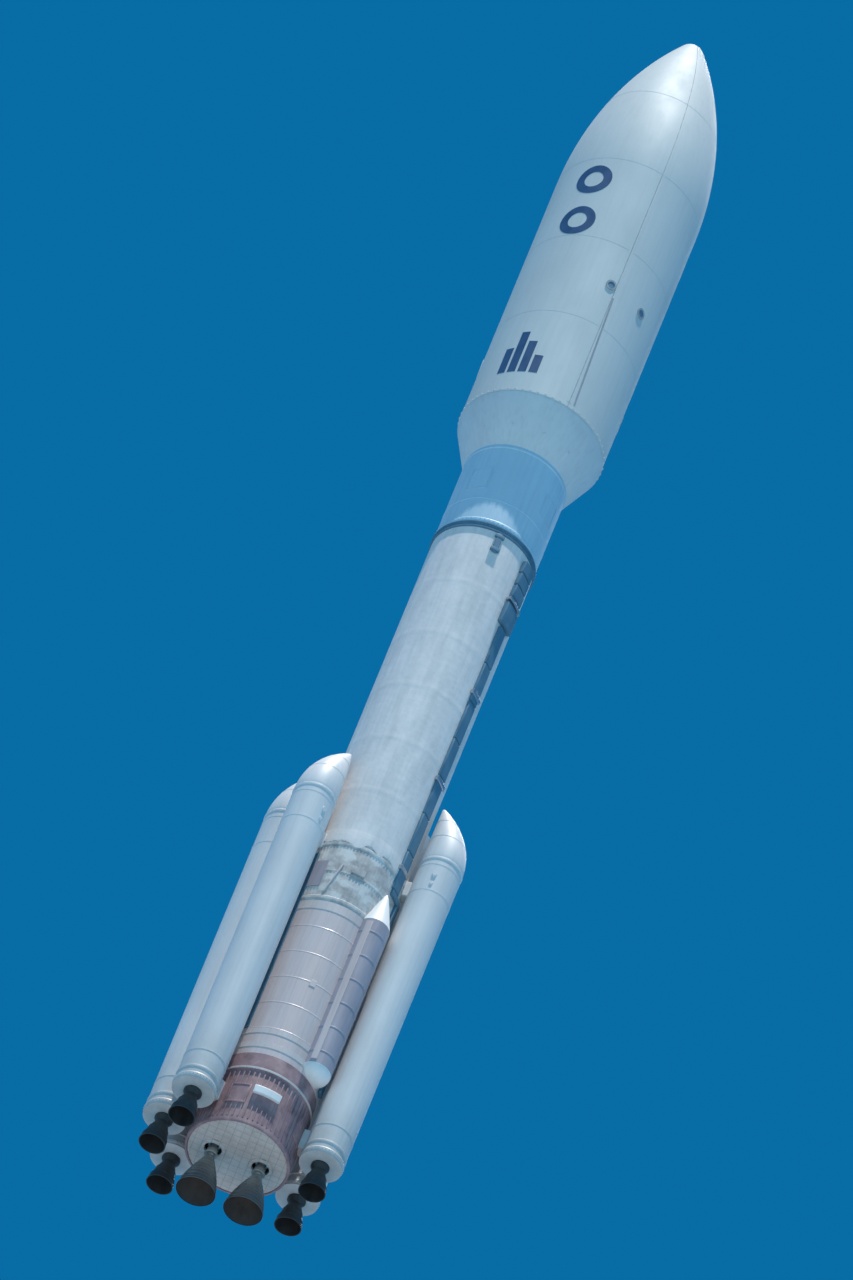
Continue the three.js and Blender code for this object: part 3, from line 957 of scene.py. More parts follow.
@dataclass
class CoreStage:
    """The core's tanks, the rings between them and what is fixed to their walls."""

    # Rows of ribs: how many, their width and how far they stand out.
    tank_welds: tuple[int, float, float] = (5, 0.05, 0.005)
    frost_ridges: tuple[int, float, float] = (5, 0.3, 0.0035)
    # Ribs near both ends of a ring: inset, width, proud. The middle one has no inset.
    intertank_ribs: Rib = (0.16, 0.2, 0.03)
    intertank_middle_rib: tuple[float, float] = (0.1, 0.02)
    separation_lips: Rib = (0.05, 0.06, 0.03)
    # Light bands. Columns: level, width.
    bands: Rows = ((3.85, 0.26), (4.55, 0.26))
    band_proud: float = 0.022
    top_band_width: float = 0.42
    top_band_gap: float = 0.02
    # Plates of several kinds. Columns: azimuth, level, width, height, thickness.
    tank_plates: Rows = (
        (4, 7.3, 0.22, 0.3, 0.015),
        (150, 6.5, 0.22, 0.3, 0.015),
        (-170, 9.0, 0.22, 0.3, 0.015),
        (-75, 8.0, 0.22, 0.3, 0.015),
    )
    intertank_doors: Rows = (
        (4, 13.0, 0.5, 0.3, 0.06),
        (170, 12.7, 0.8, 1.1, 0.06),
        (-150, 12.7, 0.7, 0.9, 0.06),
    )
    # The dark panels are painted shade: the shade beside a booster where it meets the intertank.
    shade_panels: Rows = ((-38.5, 12.6, 0.52, 1.3, 0.03), (151.5, 12.6, 0.52, 1.3, 0.03))
    # The slanted step between the two stretches of the cable cover is one wide plate.
    raceway_step: Rows = ((62, 13.325, 0.9, 0.25, 0.12),)
    brackets: Rows = (
        (54, 14.5, 0.62, 0.2, 0.16),
        (54, 19.1, 0.62, 0.2, 0.16),
        (54, 23.6, 0.62, 0.2, 0.16),
        (54, 28.33, 0.84, 0.14, 0.24),
    )
    boxes: Rows = (
        (54, 27.66, 0.8, 0.98, 0.22),
        (54, 28.82, 0.66, 0.56, 0.2),
        (54, 29.44, 0.66, 0.56, 0.2),
        (54, 30.06, 0.66, 0.56, 0.2),
    )
    # The dark strips on the tank beside the boosters are painted shade, standing in for the shade in the gap
    # between a booster and the core. Columns: offset from the boosters' centre lines, then level, width,
    # height and thickness.
    strip_offset: float = 3.0
    strip: Size = (9.225, 0.26, 8.95, 0.045)
    stringer_width: float = 0.055
    stringer_sunk: float = 0.002
    # Stringers on the intertank and on the aft section: how many, and how far they stand out.
    intertank_stringers: tuple[int, float] = (96, 0.014)
    aft_stringers: tuple[int, float] = (64, 0.03)
    conduit_size: Size = (0.07, 1.45, 0.06, 0.015)
    conduit_lean: float = 0.22
    conduit_place: tuple[float, float] = (-18.8, 12.4)
    frost_edge_height: float = 0.6
    # The frost's ragged edge: how low it is, how uneven, how far that reaches and how much it hangs.
    ragged_height: float = 0.2
    ragged_pattern: tuple[float, float, float, int] = (1.6, 0.8, 2.0, 5)
    ragged_reach: float = 0.22
    ragged_drop: float = 0.03
    ring_bolts: int = 96
    ring_bolt: Size = (0.05, 0.03)
    aft_flange: float = 2.65
    aft_wall: float = 0.06
    aft_lip: float = 0.03
    # Columns: azimuth, level.
    aft_doors: Rows = ((-26, 1.35), (62, 1.35), (158, 1.35), (-160, 1.35))
    aft_door_leaf: Size = (0.62, 0.8, 0.035, 0.01)
    aft_door_rim: Size = (0.74, 0.92, 0.06, 0.05)
    # The front cover: azimuth, width, thickness and rounding.
    aft_cover: Size = (4.0, 1.0, 0.13, 0.03)
    # The cable cover. Columns: azimuth, width, bottom, top.
    raceway_stretches: Rows = ((70, 0.34, 3.6, 13.2), (54, 0.45, 13.45, 27.1))
    cover_length: float = 1.9
    cover_seam: float = 0.05
    cover_proud: float = 0.12
    # The umbilical box's azimuth, its two clamps' places as shares of its height, and both sizes.
    umbilical_azimuth: float = 7.0
    clamp_places: tuple[float, ...] = (0.36, -0.36)
    umbilical_width: float = 0.2
    umbilical_proud: float = 0.1
    clamp_size: Size = (0.34, 0.14, 0.11)

    def build(self) -> None:
        """Builds every piece of the core stage."""
        self.radius = Section.of("core_fuel_tank").radius
        self.fuel_tank()
        self.intertank()
        self.oxidiser_tank()
        self.separation_ring()
        self.aft_section()
        self.wall_runs()

    def stringers(self, bottom: float, top: float, count: int, proud: float) -> Mesh:
        """Returns upright hat stringers all round the wall."""
        bar = slab(self.stringer_width, top - bottom, proud, proud * 0.3)
        return around(wrap(bar, self.radius - self.stringer_sunk, 0.0, (bottom + top) / 2), count)

    def fuel_tank(self) -> None:
        """Builds the copper-brown tank with its weld lines, light bands, plates and dark strips of painted
        shade beside the boosters.
        """
        tank = Section.of("core_fuel_tank")
        skin = tank.skin(tank.spaced(*self.tank_welds))
        finish_piece("fuel_tank_skin", skin, Slot.BRONZE, BRONZE, node="core_fuel_tank")
        rows = [*self.bands, (tank.top - self.top_band_width / 2 - self.top_band_gap, self.top_band_width)]
        bands = [hoop(level, width, tank.radius - HOOP_SUNK, self.band_proud) for level, width in rows]
        finish_piece("fuel_tank_bands", bands, Slot.BRONZE, HOOP_PRIMER)
        raised = plates(self.tank_plates, tank.radius, 0.006)
        finish_piece("fuel_tank_plates", raised, Slot.BRONZE, HOOP_PRIMER)
        # Each strip is painted shade: a dark band where a booster shades the core.
        strips = [(azimuth + self.strip_offset, *self.strip) for azimuth in BOOSTER_AZIMUTHS]
        finish_piece("booster_gap_shade_strips", plates(strips, tank.radius, 0.01), Slot.BRONZE, RUBBER_AND_PAINTED_SHADE)

    def intertank(self) -> None:
        """Builds the stringered ring between the tanks, its doors, its dark panels of painted shade and its
        conduit.
        """
        ring = Section.of("core_intertank")
        low, high = ring.end_ribs(*self.intertank_ribs)
        skin = ring.skin([low, (ring.middle, *self.intertank_middle_rib), high])
        stringers = self.stringers(ring.bottom + 0.24, ring.top - 0.24, *self.intertank_stringers)
        finish_piece("intertank_skin", [skin, stringers], Slot.INTERTANK, INTERTANK, node="core_intertank")
        raised = plates(self.intertank_doors, ring.radius, 0.015)
        finish_piece("intertank_doors", raised, Slot.INTERTANK, INTERTANK)
        # Dark panels of painted shade, where a booster shades the intertank.
        panels = plates(self.shade_panels, ring.radius, 0.01)
        finish_piece("intertank_shade_panels", panels, Slot.INTERTANK, POD_PRIMER_AND_PAINTED_SHADE)
        conduit = wrap(leaning(slab(*self.conduit_size), self.conduit_lean), ring.radius, *self.conduit_place)
        finish_piece("intertank_conduit", conduit, Slot.INTERTANK, HOOP_PRIMER)

    def oxidiser_tank(self) -> None:
        """Builds the frosted tank and the ragged lower edge of its frost."""
        tank = Section.of("core_oxidiser_tank")
        skin = tank.skin(tank.spaced(*self.frost_ridges))
        finish_piece("oxidiser_tank_skin", skin, Slot.FROST, FROST, node="core_oxidiser_tank")
        foot, edge_top = tank.bottom - 0.02, tank.bottom + self.frost_edge_height
        outline = [
            (tank.radius - 0.02, foot),
            (tank.radius + 0.03, foot),
            (tank.radius + 0.035, tank.bottom + 0.12),
            (tank.radius + 0.012, edge_top),
            (tank.radius - 0.02, edge_top),
        ]
        edge = spun(outline, 2 * CORE_SEGMENTS)
        size, *layers = self.ragged_pattern
        for vert in edge.verts:
            if vert.co.z < tank.bottom + self.ragged_height:
                ragged = noise.fractal(vert.co * size, *layers)
                vert.co.z += self.ragged_reach * ragged - self.ragged_drop
        finish_piece("frost_edge", edge, Slot.FROST, FROST)

    def separation_ring(self) -> None:
        """Builds the dark ring where the stages part, with its lips and bolts."""
        ring = Section.of("core_separation_ring")
        bolt = wrap(stud(*self.ring_bolt), ring.radius, 0.0, ring.bottom + ring.height / 2)
        whole = [ring.skin(ring.end_ribs(*self.separation_lips)), around(bolt, self.ring_bolts)]
        finish_piece("separation_ring_dressed", whole, Slot.DARK, RUBBER_AND_PAINTED_SHADE, node="core_separation_ring")

    def aft_section(self) -> None:
        """Builds the wall round the engine, with its stringers, flange, doors and cover."""
        wall = Section.of("core_aft_section")
        radius, flange, inner = self.radius, self.aft_flange, self.radius - self.aft_wall
        lip = radius + self.aft_lip
        outline = [
            (inner, wall.bottom),
            (radius, wall.bottom),
            (lip, wall.bottom + 0.03),
            (lip, wall.bottom + 0.14),
            (radius, wall.bottom + 0.17),
            (radius, flange - 0.1),
            (lip, flange - 0.08),
            (lip, flange + 0.08),
            (radius, flange + 0.1),
            (radius, wall.top),
            (inner, wall.top),
        ]
        stringers = self.stringers(wall.bottom + 0.22, flange - 0.16, *self.aft_stringers)
        whole = [spun(outline, CORE_SEGMENTS), stringers]
        finish_piece("aft_section_skin", whole, Slot.AFT, AFT, node="core_aft_section")
        finish_piece("aft_light_ring", hoop(flange, 0.1, radius + 0.01, 0.045), Slot.AFT, HOOP_PRIMER)
        box = Section.of("aft_cover_box")
        azimuth, width, thickness, rounding = self.aft_cover
        cover = plates([(azimuth, box.middle, width, box.height, thickness)], radius, rounding)
        # The cover's near-white, warm paint is painted light from the exhaust.
        finish_piece("aft_front_cover", cover, Slot.WHITE, EXHAUST_LIT_CAP_PAINT, node="aft_cover_box")
        hatches = doors(self.aft_doors, self.aft_door_leaf, self.aft_door_rim, radius)
        finish_piece("aft_doors", hatches, Slot.AFT, AFT)

    def wall_runs(self) -> None:
        """Builds the dark cable cover down the wall, its brackets, and the boxes at its top and front."""
        covers = [*self.raceway_step]
        for azimuth, width, bottom, top in self.raceway_stretches:
            count = round((top - bottom) / self.cover_length)
            step = (top - bottom) / count
            for i in range(count):
                size = (width, step - self.cover_seam, self.cover_proud)
                covers.append((azimuth, bottom + step * (i + 0.5), *size))
        box = Section.of("umbilical_box")
        azimuth = self.umbilical_azimuth
        umbilical = [(azimuth, box.middle, self.umbilical_width, box.height, self.umbilical_proud)]
        for place in self.clamp_places:
            umbilical.append((azimuth, box.middle + box.height * place, *self.clamp_size))
        for name, rows, rounding, finish, node in (
            ("raceway_covers", covers, 0.03, RUBBER_AND_PAINTED_SHADE, "cable_raceway"),
            ("raceway_brackets", self.brackets, 0.03, ALUMINIUM, ""),
            ("equipment_boxes", self.boxes, 0.035, RUBBER_AND_PAINTED_SHADE, "equipment_box"),
            ("umbilical_boxes", umbilical, 0.02, RUBBER_AND_PAINTED_SHADE, "umbilical_box"),
        ):
            finish_piece(name, plates(rows, self.radius, rounding), Slot.DARK, finish, node=node)


@dataclass
class FeedlinePod:
    """The cover of the feedline: rounded tail, long body with a raised strip up its lit side, and pointed
    nose. The strip's lighter colour is a painted highlight.
    """

    azimuth: float = 46.0
    radius: float = 0.585
    centre: float = 1.95
    lean: float = 0.05
    tip_fullness: float = 0.92
    tip_width: float = 0.03
    curve_steps: int = 10
    segments: int = 64
    # How deep in the core's wall the covers are cut off.
    cut_depth: float = 0.3
    straps: int = 6
    strap_width: float = 0.07
    strap_proud: float = 0.012
    # The strip's thickness, rounding and widest stretch without a bend. Its lighter colour is a painted
    # highlight on the pod's lit side.
    rail_depth: Size = (0.03, 0.01, 0.05)
    rail_width: float = 0.24
    rail_azimuth: float = -70.0
    rail_gap: float = 0.3

    def build(self) -> None:
        """Builds the pod's three covers and the raised strip of painted highlight up its lit side."""
        tail, body = Section.of("feedline_pod_tail"), Section.of("feedline_pod_body")
        start, shoulder, tip = body.bottom, body.top, Section.of("feedline_pod_nose").top
        self.shoulder, self.nose_length = shoulder, tip - shoulder
        curve = []
        for i in range(self.curve_steps + 1):
            angle = math.pi / 2 * i / self.curve_steps
            curve.append((self.radius * math.sin(angle), start - (start - tail.bottom) * math.cos(angle)))
        cone = [(0.0, shoulder), (self.radius, shoulder)]
        for i in range(1, self.curve_steps):
            along = i / self.curve_steps
            width = self.radius * (1 - along) ** self.tip_fullness + self.tip_width * along
            cone.append((width, shoulder + self.nose_length * along))
        cone.append((0.0, tip))
        step = body.height / self.straps
        straps = [(start + step * (i + 0.5), self.strap_width, self.strap_proud) for i in range(self.straps)]
        belt = ribbed_wall(start, shoulder, self.radius, straps)
        # The tail and nose caps take the brighter, warmer white: painted light from the exhaust.
        self.cover("pod_tail_cap", [*curve, (0.0, start)], Slot.WHITE, EXHAUST_LIT_CAP_PAINT, "feedline_pod_tail")
        self.cover("pod_body_cover", belt, Slot.BRONZE, POD_PRIMER_AND_PAINTED_SHADE, "feedline_pod_body")
        self.cover("pod_nose_cap", cone, Slot.WHITE, EXHAUST_LIT_CAP_PAINT, "feedline_pod_nose")
        rail = slab(self.rail_width, body.height - self.rail_gap, *self.rail_depth)
        wrap(rail, self.radius, self.rail_azimuth, body.middle)
        rotated(shifted(rail, y=-self.centre), math.radians(self.azimuth))
        # The strip takes the tank's lighter colour as a painted highlight.
        finish_piece("pod_highlight_strip", rail, Slot.BRONZE, BRONZE)

    def cover(self, name: str, profile: Profile, slot: Slot, finish: Finish, node: str) -> None:
        """Builds one cover, which leans in over the shoulder and is cut off inside the core.

        Args:
            name: The piece's name.
            profile: Its outline about the pod's own axis.
            slot: The record's slot.
            finish: Its finish.
            node: The CAD node it stands for.
        """
        shape = spun(profile, self.segments)
        for vert in shape.verts:
            along = max(0.0, (vert.co.z - self.shoulder) / self.nose_length)
            vert.co.y += self.radius * self.lean * along - self.centre
        depth = Section.of("core_fuel_tank").radius - self.cut_depth
        cut = bmesh.ops.bisect_plane(
            shape, geom=all_of(shape), plane_co=(0, -depth, 0), plane_no=(0, 1, 0), clear_outer=True
        )
        bmesh.ops.holes_fill(shape, edges=rim_of(cut), sides=0)
        bmesh.ops.recalc_face_normals(shape, faces=shape.faces)
        finish_piece(name, rotated(shape, math.radians(self.azimuth)), slot, finish, node=node)


@dataclass
class MainEngine:
    """The bells, their rings, and the blanket across the foot of the core."""

    sides: tuple[tuple[str, float], ...] = (("left", -0.9), ("right", 0.9))
    pivot: float = 0.2
    ball: float = 0.17
    ball_steps: int = 16
    neck_radius: float = 0.11
    # The chamber's outline under the ball. Columns: radius, level.
    chamber: Rows = ((0.16, 0.02), (0.195, 0.0), (0.2, -0.02), (0.2, -0.2), (0.18, -0.27), (0.14, -0.38))
    throat: tuple[float, float] = (0.13, -0.42)
    mouth: tuple[float, float] = (0.715, -2.2)
    wall: float = 0.022
    wall_steps: int = 26
    # The hoops stand at these steps of the wall.
    hoop_steps: tuple[int, ...] = (2, 4, 7, 10, 13, 16, 18, 21, 24)
    hoop_width: float = 0.035
    hoop_proud: float = 0.03
    # The manifold and the mouth's rim. Columns: level, width, radius, proud.
    rims: Rows = ((-0.3, 0.1, 0.15, 0.1), (-2.17, 0.06, 0.69, 0.04))
    segments: int = 96
    # The gimbal ring's width, inner radius, thickness and steps round, and its four bosses.
    ring_size: tuple[float, float, float, int] = (0.09, 0.1708, 0.09, 64)
    boss_size: Size = (0.09, 0.07, 0.03, 0.01)
    boss_radius: float = 0.255
    # The heat shield's hole round each bell's neck, and the bevel of its lower edge.
    hole: float = 0.36
    shield_bevel: float = 0.03

    def build(self) -> None:
        """Builds both bells, their rings and the heat shield, and finishes the engine block."""
        for label, side in self.sides:
            self.bell(label, side)
            self.ring(label, side)
        self.heat_shield()
        block = bpy.data.objects["core_engine_block"].data
        block.materials.clear()
        block.materials.append(material_of(ALUMINIUM))

    def bell(self, label: str, side: float) -> None:
        """Builds one bell with its ball, chamber, manifold and hoops.

        Args:
            label: The bell's name.
            side: How far right of the middle it hangs.
        """
        last = math.pi / 2 + math.acos(self.neck_radius / self.ball)
        profile = [(0.0, self.pivot + self.ball)]
        for i in range(1, self.ball_steps + 1):
            angle = math.pi / 2 - last * i / self.ball_steps
            profile.append((self.ball * math.cos(angle), self.pivot + self.ball * math.sin(angle)))
        (narrow, start), (wide, end) = self.throat, self.mouth
        outer = flare(self.throat, self.mouth, self.wall_steps)
        inner = flare((narrow - self.wall, start), (wide - self.wall, end), self.wall_steps)
        parts = [spun([*profile, *self.chamber, *outer, *reversed(inner), (0.0, start)], self.segments)]
        for index in self.hoop_steps:
            radius, level = outer[index]
            parts.append(hoop(level, self.hoop_width, radius - HOOP_SUNK, self.hoop_proud, self.segments))
        parts += [hoop(*rim, self.segments) for rim in self.rims]
        shape = shifted(joined(parts), x=side)
        node = f"main_bell_{label}"
        finish_piece(f"bell_{label}_tubes", shape, Slot.BELL, BELL, body=f"bell_{label}", node=node)

    def ring(self, label: str, side: float) -> None:
        """Builds one gimbal ring with its four bosses.

        Args:
            label: The name of its bell.
            side: How far right of the middle it sits.
        """
        boss = wrap(slab(*self.boss_size), self.boss_radius, 0.0, self.pivot)
        shape = shifted(joined([hoop(self.pivot, *self.ring_size), around(boss, 4)]), x=side)
        name, body, node = f"gimbal_{label}_forging", f"gimbal_{label}", f"main_gimbal_ring_{label}"
        finish_piece(name, shape, Slot.STEEL, ALUMINIUM, body=body, node=node)

    def heat_shield(self) -> None:
        """Builds the blanket: a disc with a soft collar round each bell's hole."""
        shield = Section.of("core_heat_shield")
        bottom, top, rim, soft = shield.bottom, shield.top, shield.radius, self.shield_bevel
        outline = [(0.0, bottom), (rim - soft, bottom), (rim, bottom + soft), (rim, top), (0.0, top)]
        disc = new_object("disc", spun(outline, 128))
        cutters, collars = [], []
        for _, side in self.sides:
            bore = bmesh.new()
            bmesh.ops.create_cone(
                bore, cap_ends=True, segments=64, radius1=self.hole, radius2=self.hole, depth=1.0
            )
            cutters.append(new_object("bore", shifted(bore, x=side)))
            modifier = disc.modifiers.new("hole", "BOOLEAN")
            modifier.operation = "DIFFERENCE"
            modifier.solver = "EXACT"
            modifier.object = cutters[-1]
            collars.append(shifted(hoop(bottom - 0.02, 0.1, self.hole - 0.03, 0.12, 96), x=side))
        evaluated = disc.evaluated_get(bpy.context.evaluated_depsgraph_get())
        shape = bmesh.new()
        shape.from_mesh(evaluated.to_mesh())
        evaluated.to_mesh_clear()
        for thing in (*cutters, disc):
            bpy.data.objects.remove(thing)
        name, node = "heat_shield_blanket", "core_heat_shield"
        finish_piece(name, [shape, *collars], Slot.SHIELD, BLANKET, node=node, sharp_degrees=45.0)


@dataclass
class Interstage:
    """The adapter above the dark ring, the boat tail that widens it, and their doors and strips."""

    # The adapter's ribs. The first two have their levels over its bottom, and the last below its top.
    foot_rib: Rib = (0.13, 0.16, 0.02)
    weld: Rib = (1.2, 0.05, 0.01)
    top_rib: Rib = (0.12, 0.14, 0.02)
    # Columns: azimuth, level.
    door_places: Rows = ((-40, 33.2), (52, 33.2), (140, 33.2), (-140, 33.2))
    door_leaf: Size = (0.75, 0.95, 0.01, 0.004)
    door_rim: Size = (0.89, 1.09, 0.05, 0.014)
    bolts: int = 72
    bolt: Size = (0.045, 0.025)
    # Strips up the boat tail: how many, where the first stands, its sizes and its gap at both ends.
    strip_count: int = 12
    strip_azimuth: float = 7.5
    strip_width: float = 0.12
    strip_depth: Size = (0.014, 0.005)
    strip_gap: float = 0.24

    def build(self) -> None:
        """Builds the adapter and the boat tail."""
        adapter = Section.of("interstage")
        ribs = [(adapter.bottom + level, *size) for level, *size in (self.foot_rib, self.weld)]
        ribs.append((adapter.top - self.top_rib[0], *self.top_rib[1:]))
        # The adapter, its doors and bolts take the blue-tinted white, a painted shade from the fairing above
        # them.
        finish_piece("interstage_skin", adapter.skin(ribs), Slot.WHITE, SHADED_ADAPTER_PAINT, node="interstage")
        parts = doors(self.door_places, self.door_leaf, self.door_rim, adapter.radius)
        foot, _, proud = self.foot_rib
        bolt = wrap(stud(*self.bolt), adapter.radius + proud, 0.0, adapter.bottom + foot)
        parts.append(around(bolt, self.bolts))
        finish_piece("interstage_doors", parts, Slot.WHITE, SHADED_ADAPTER_PAINT)
        self.boat_tail(adapter.radius)

    def boat_tail(self, neck: float) -> None:
        """Builds the cone that widens the adapter to the fairing.

        Args:
            neck: The adapter's radius.
        """
        cone = Section.of("boat_tail")
        profile = [
            (0.0, cone.bottom),
            (neck, cone.bottom),
            (neck + 0.02, cone.bottom + 0.03),
            (cone.radius - 0.004, cone.top - 0.07),
            (cone.radius, cone.top - 0.04),
            (cone.radius, cone.top),
            (0.0, cone.top),
        ]
        halfway = (cone.radius + neck) / 2
        strip = slab(self.strip_width, cone.height - self.strip_gap, *self.strip_depth)
        wrap(strip, halfway, self.strip_azimuth, cone.middle, (cone.radius - neck) / cone.height)
        whole = [spun(profile, CORE_SEGMENTS), around(strip, self.strip_count)]
        finish_piece("boat_tail_skin", whole, Slot.WHITE, STAGE_PAINT, node="boat_tail")
        places = ((cone.middle, halfway), (cone.bottom + 0.1, neck + 0.035))
        beads = [hoop(level, 0.05, radius - 0.02, 0.03) for level, radius in places]
        finish_piece("boat_tail_beads", beads, Slot.WHITE, STAGE_PAINT)


@dataclass
class UpperStage:
    """The stainless tank inside the fairing and the adapter that carries the payload."""

    shoulder: float = 42.6
    end_radius: float = 0.95
    dome_steps: int = 14
    segments: int = 128
    # Belts round the tank. Columns: level, width, proud with the foot that lies in the wall.
    belts: Rows = ((38.4, 0.1, 0.04), (39.9, 0.1, 0.04), (41.4, 0.1, 0.04), (42.6, 0.16, 0.06))
    box_azimuths: tuple[float, ...] = (-70, -20, 35, 80, 130, 175, -125)
    # A box's level, width, height and thickness.
    box: Size = (42.1, 0.5, 0.42, 0.22)
    # The payload adapter's radii at its foot, its neck and its flange.
    base: float = 0.93
    neck: float = 0.75
    flange: float = 0.81
    stiffeners: int = 24
    stiffener_width: float = 0.05
    stiffener_depth: Size = (0.04, 0.01)

    def build(self) -> None:
        """Builds the tank, its belts and boxes, and the payload adapter."""
        tank = Section.of("upper_stage_tank")
        full = (tank.top - self.shoulder) / math.sqrt(1 - (self.end_radius / tank.radius) ** 2)
        last = math.acos(self.end_radius / tank.radius)
        dome = []
        for i in range(self.dome_steps + 1):
            angle = last * i / self.dome_steps
            dome.append((tank.radius * math.cos(angle), self.shoulder + full * math.sin(angle)))
        outline = [(0.0, tank.bottom), (tank.radius, tank.bottom), *dome, (0.0, tank.top)]
        skin = spun(outline, self.segments)
        finish_piece("upper_tank_sheet", skin, Slot.UPPER_TANK, STAINLESS, node="upper_stage_tank")
        inside = tank.radius - HOOP_SUNK
        belts = [hoop(level, width, inside, proud, self.segments) for level, width, proud in self.belts]
        finish_piece("upper_tank_belts", belts, Slot.STEEL, ALUMINIUM)
        boxes = plates([(azimuth, *self.box) for azimuth in self.box_azimuths], tank.radius, 0.03)
        finish_piece("upper_stage_boxes", boxes, Slot.WHITE, STAGE_PAINT)
        self.adapter()

    def adapter(self) -> None:
        """Builds the carbon cone with its upright stiffeners and its flange."""
        cone = Section.of("payload_adapter")
        bottom, top, base, neck = cone.bottom, cone.top, self.base, self.neck
        profile = [
            (0.0, bottom),
            (base, bottom),
            (base, bottom + 0.06),
            (base - 0.04, bottom + 0.08),
            (neck, top - 0.08),
            (self.flange, top - 0.06),
            (self.flange, top),
            (neck - 0.1, top),
            (neck - 0.1, top - 0.01),
            (0.0, top - 0.01),
        ]
        rib = slab(self.stiffener_width, cone.height - 0.2, *self.stiffener_depth)
        wrap(rib, (base + neck) / 2 - 0.02, 0.0, cone.middle, (neck - base) / cone.height)
        whole = [spun(profile), around(rib, self.stiffeners)]
        finish_piece("payload_adapter_cone", whole, Slot.CARBON, CARBON, node="payload_adapter")


@dataclass(frozen=True)
class Half:
    """One half of the fairing, and where its fittings are."""

    label: str
    # -1 for the left half, 1 for the right one.
    side: int
    # Ports and door. Columns: azimuth, level.
    ports: Rows
    door: Rows
    stud_azimuths: range

    @property
    def body(self) -> str:
        """Returns the body that it rides on."""
        return f"fairing_{self.label}"


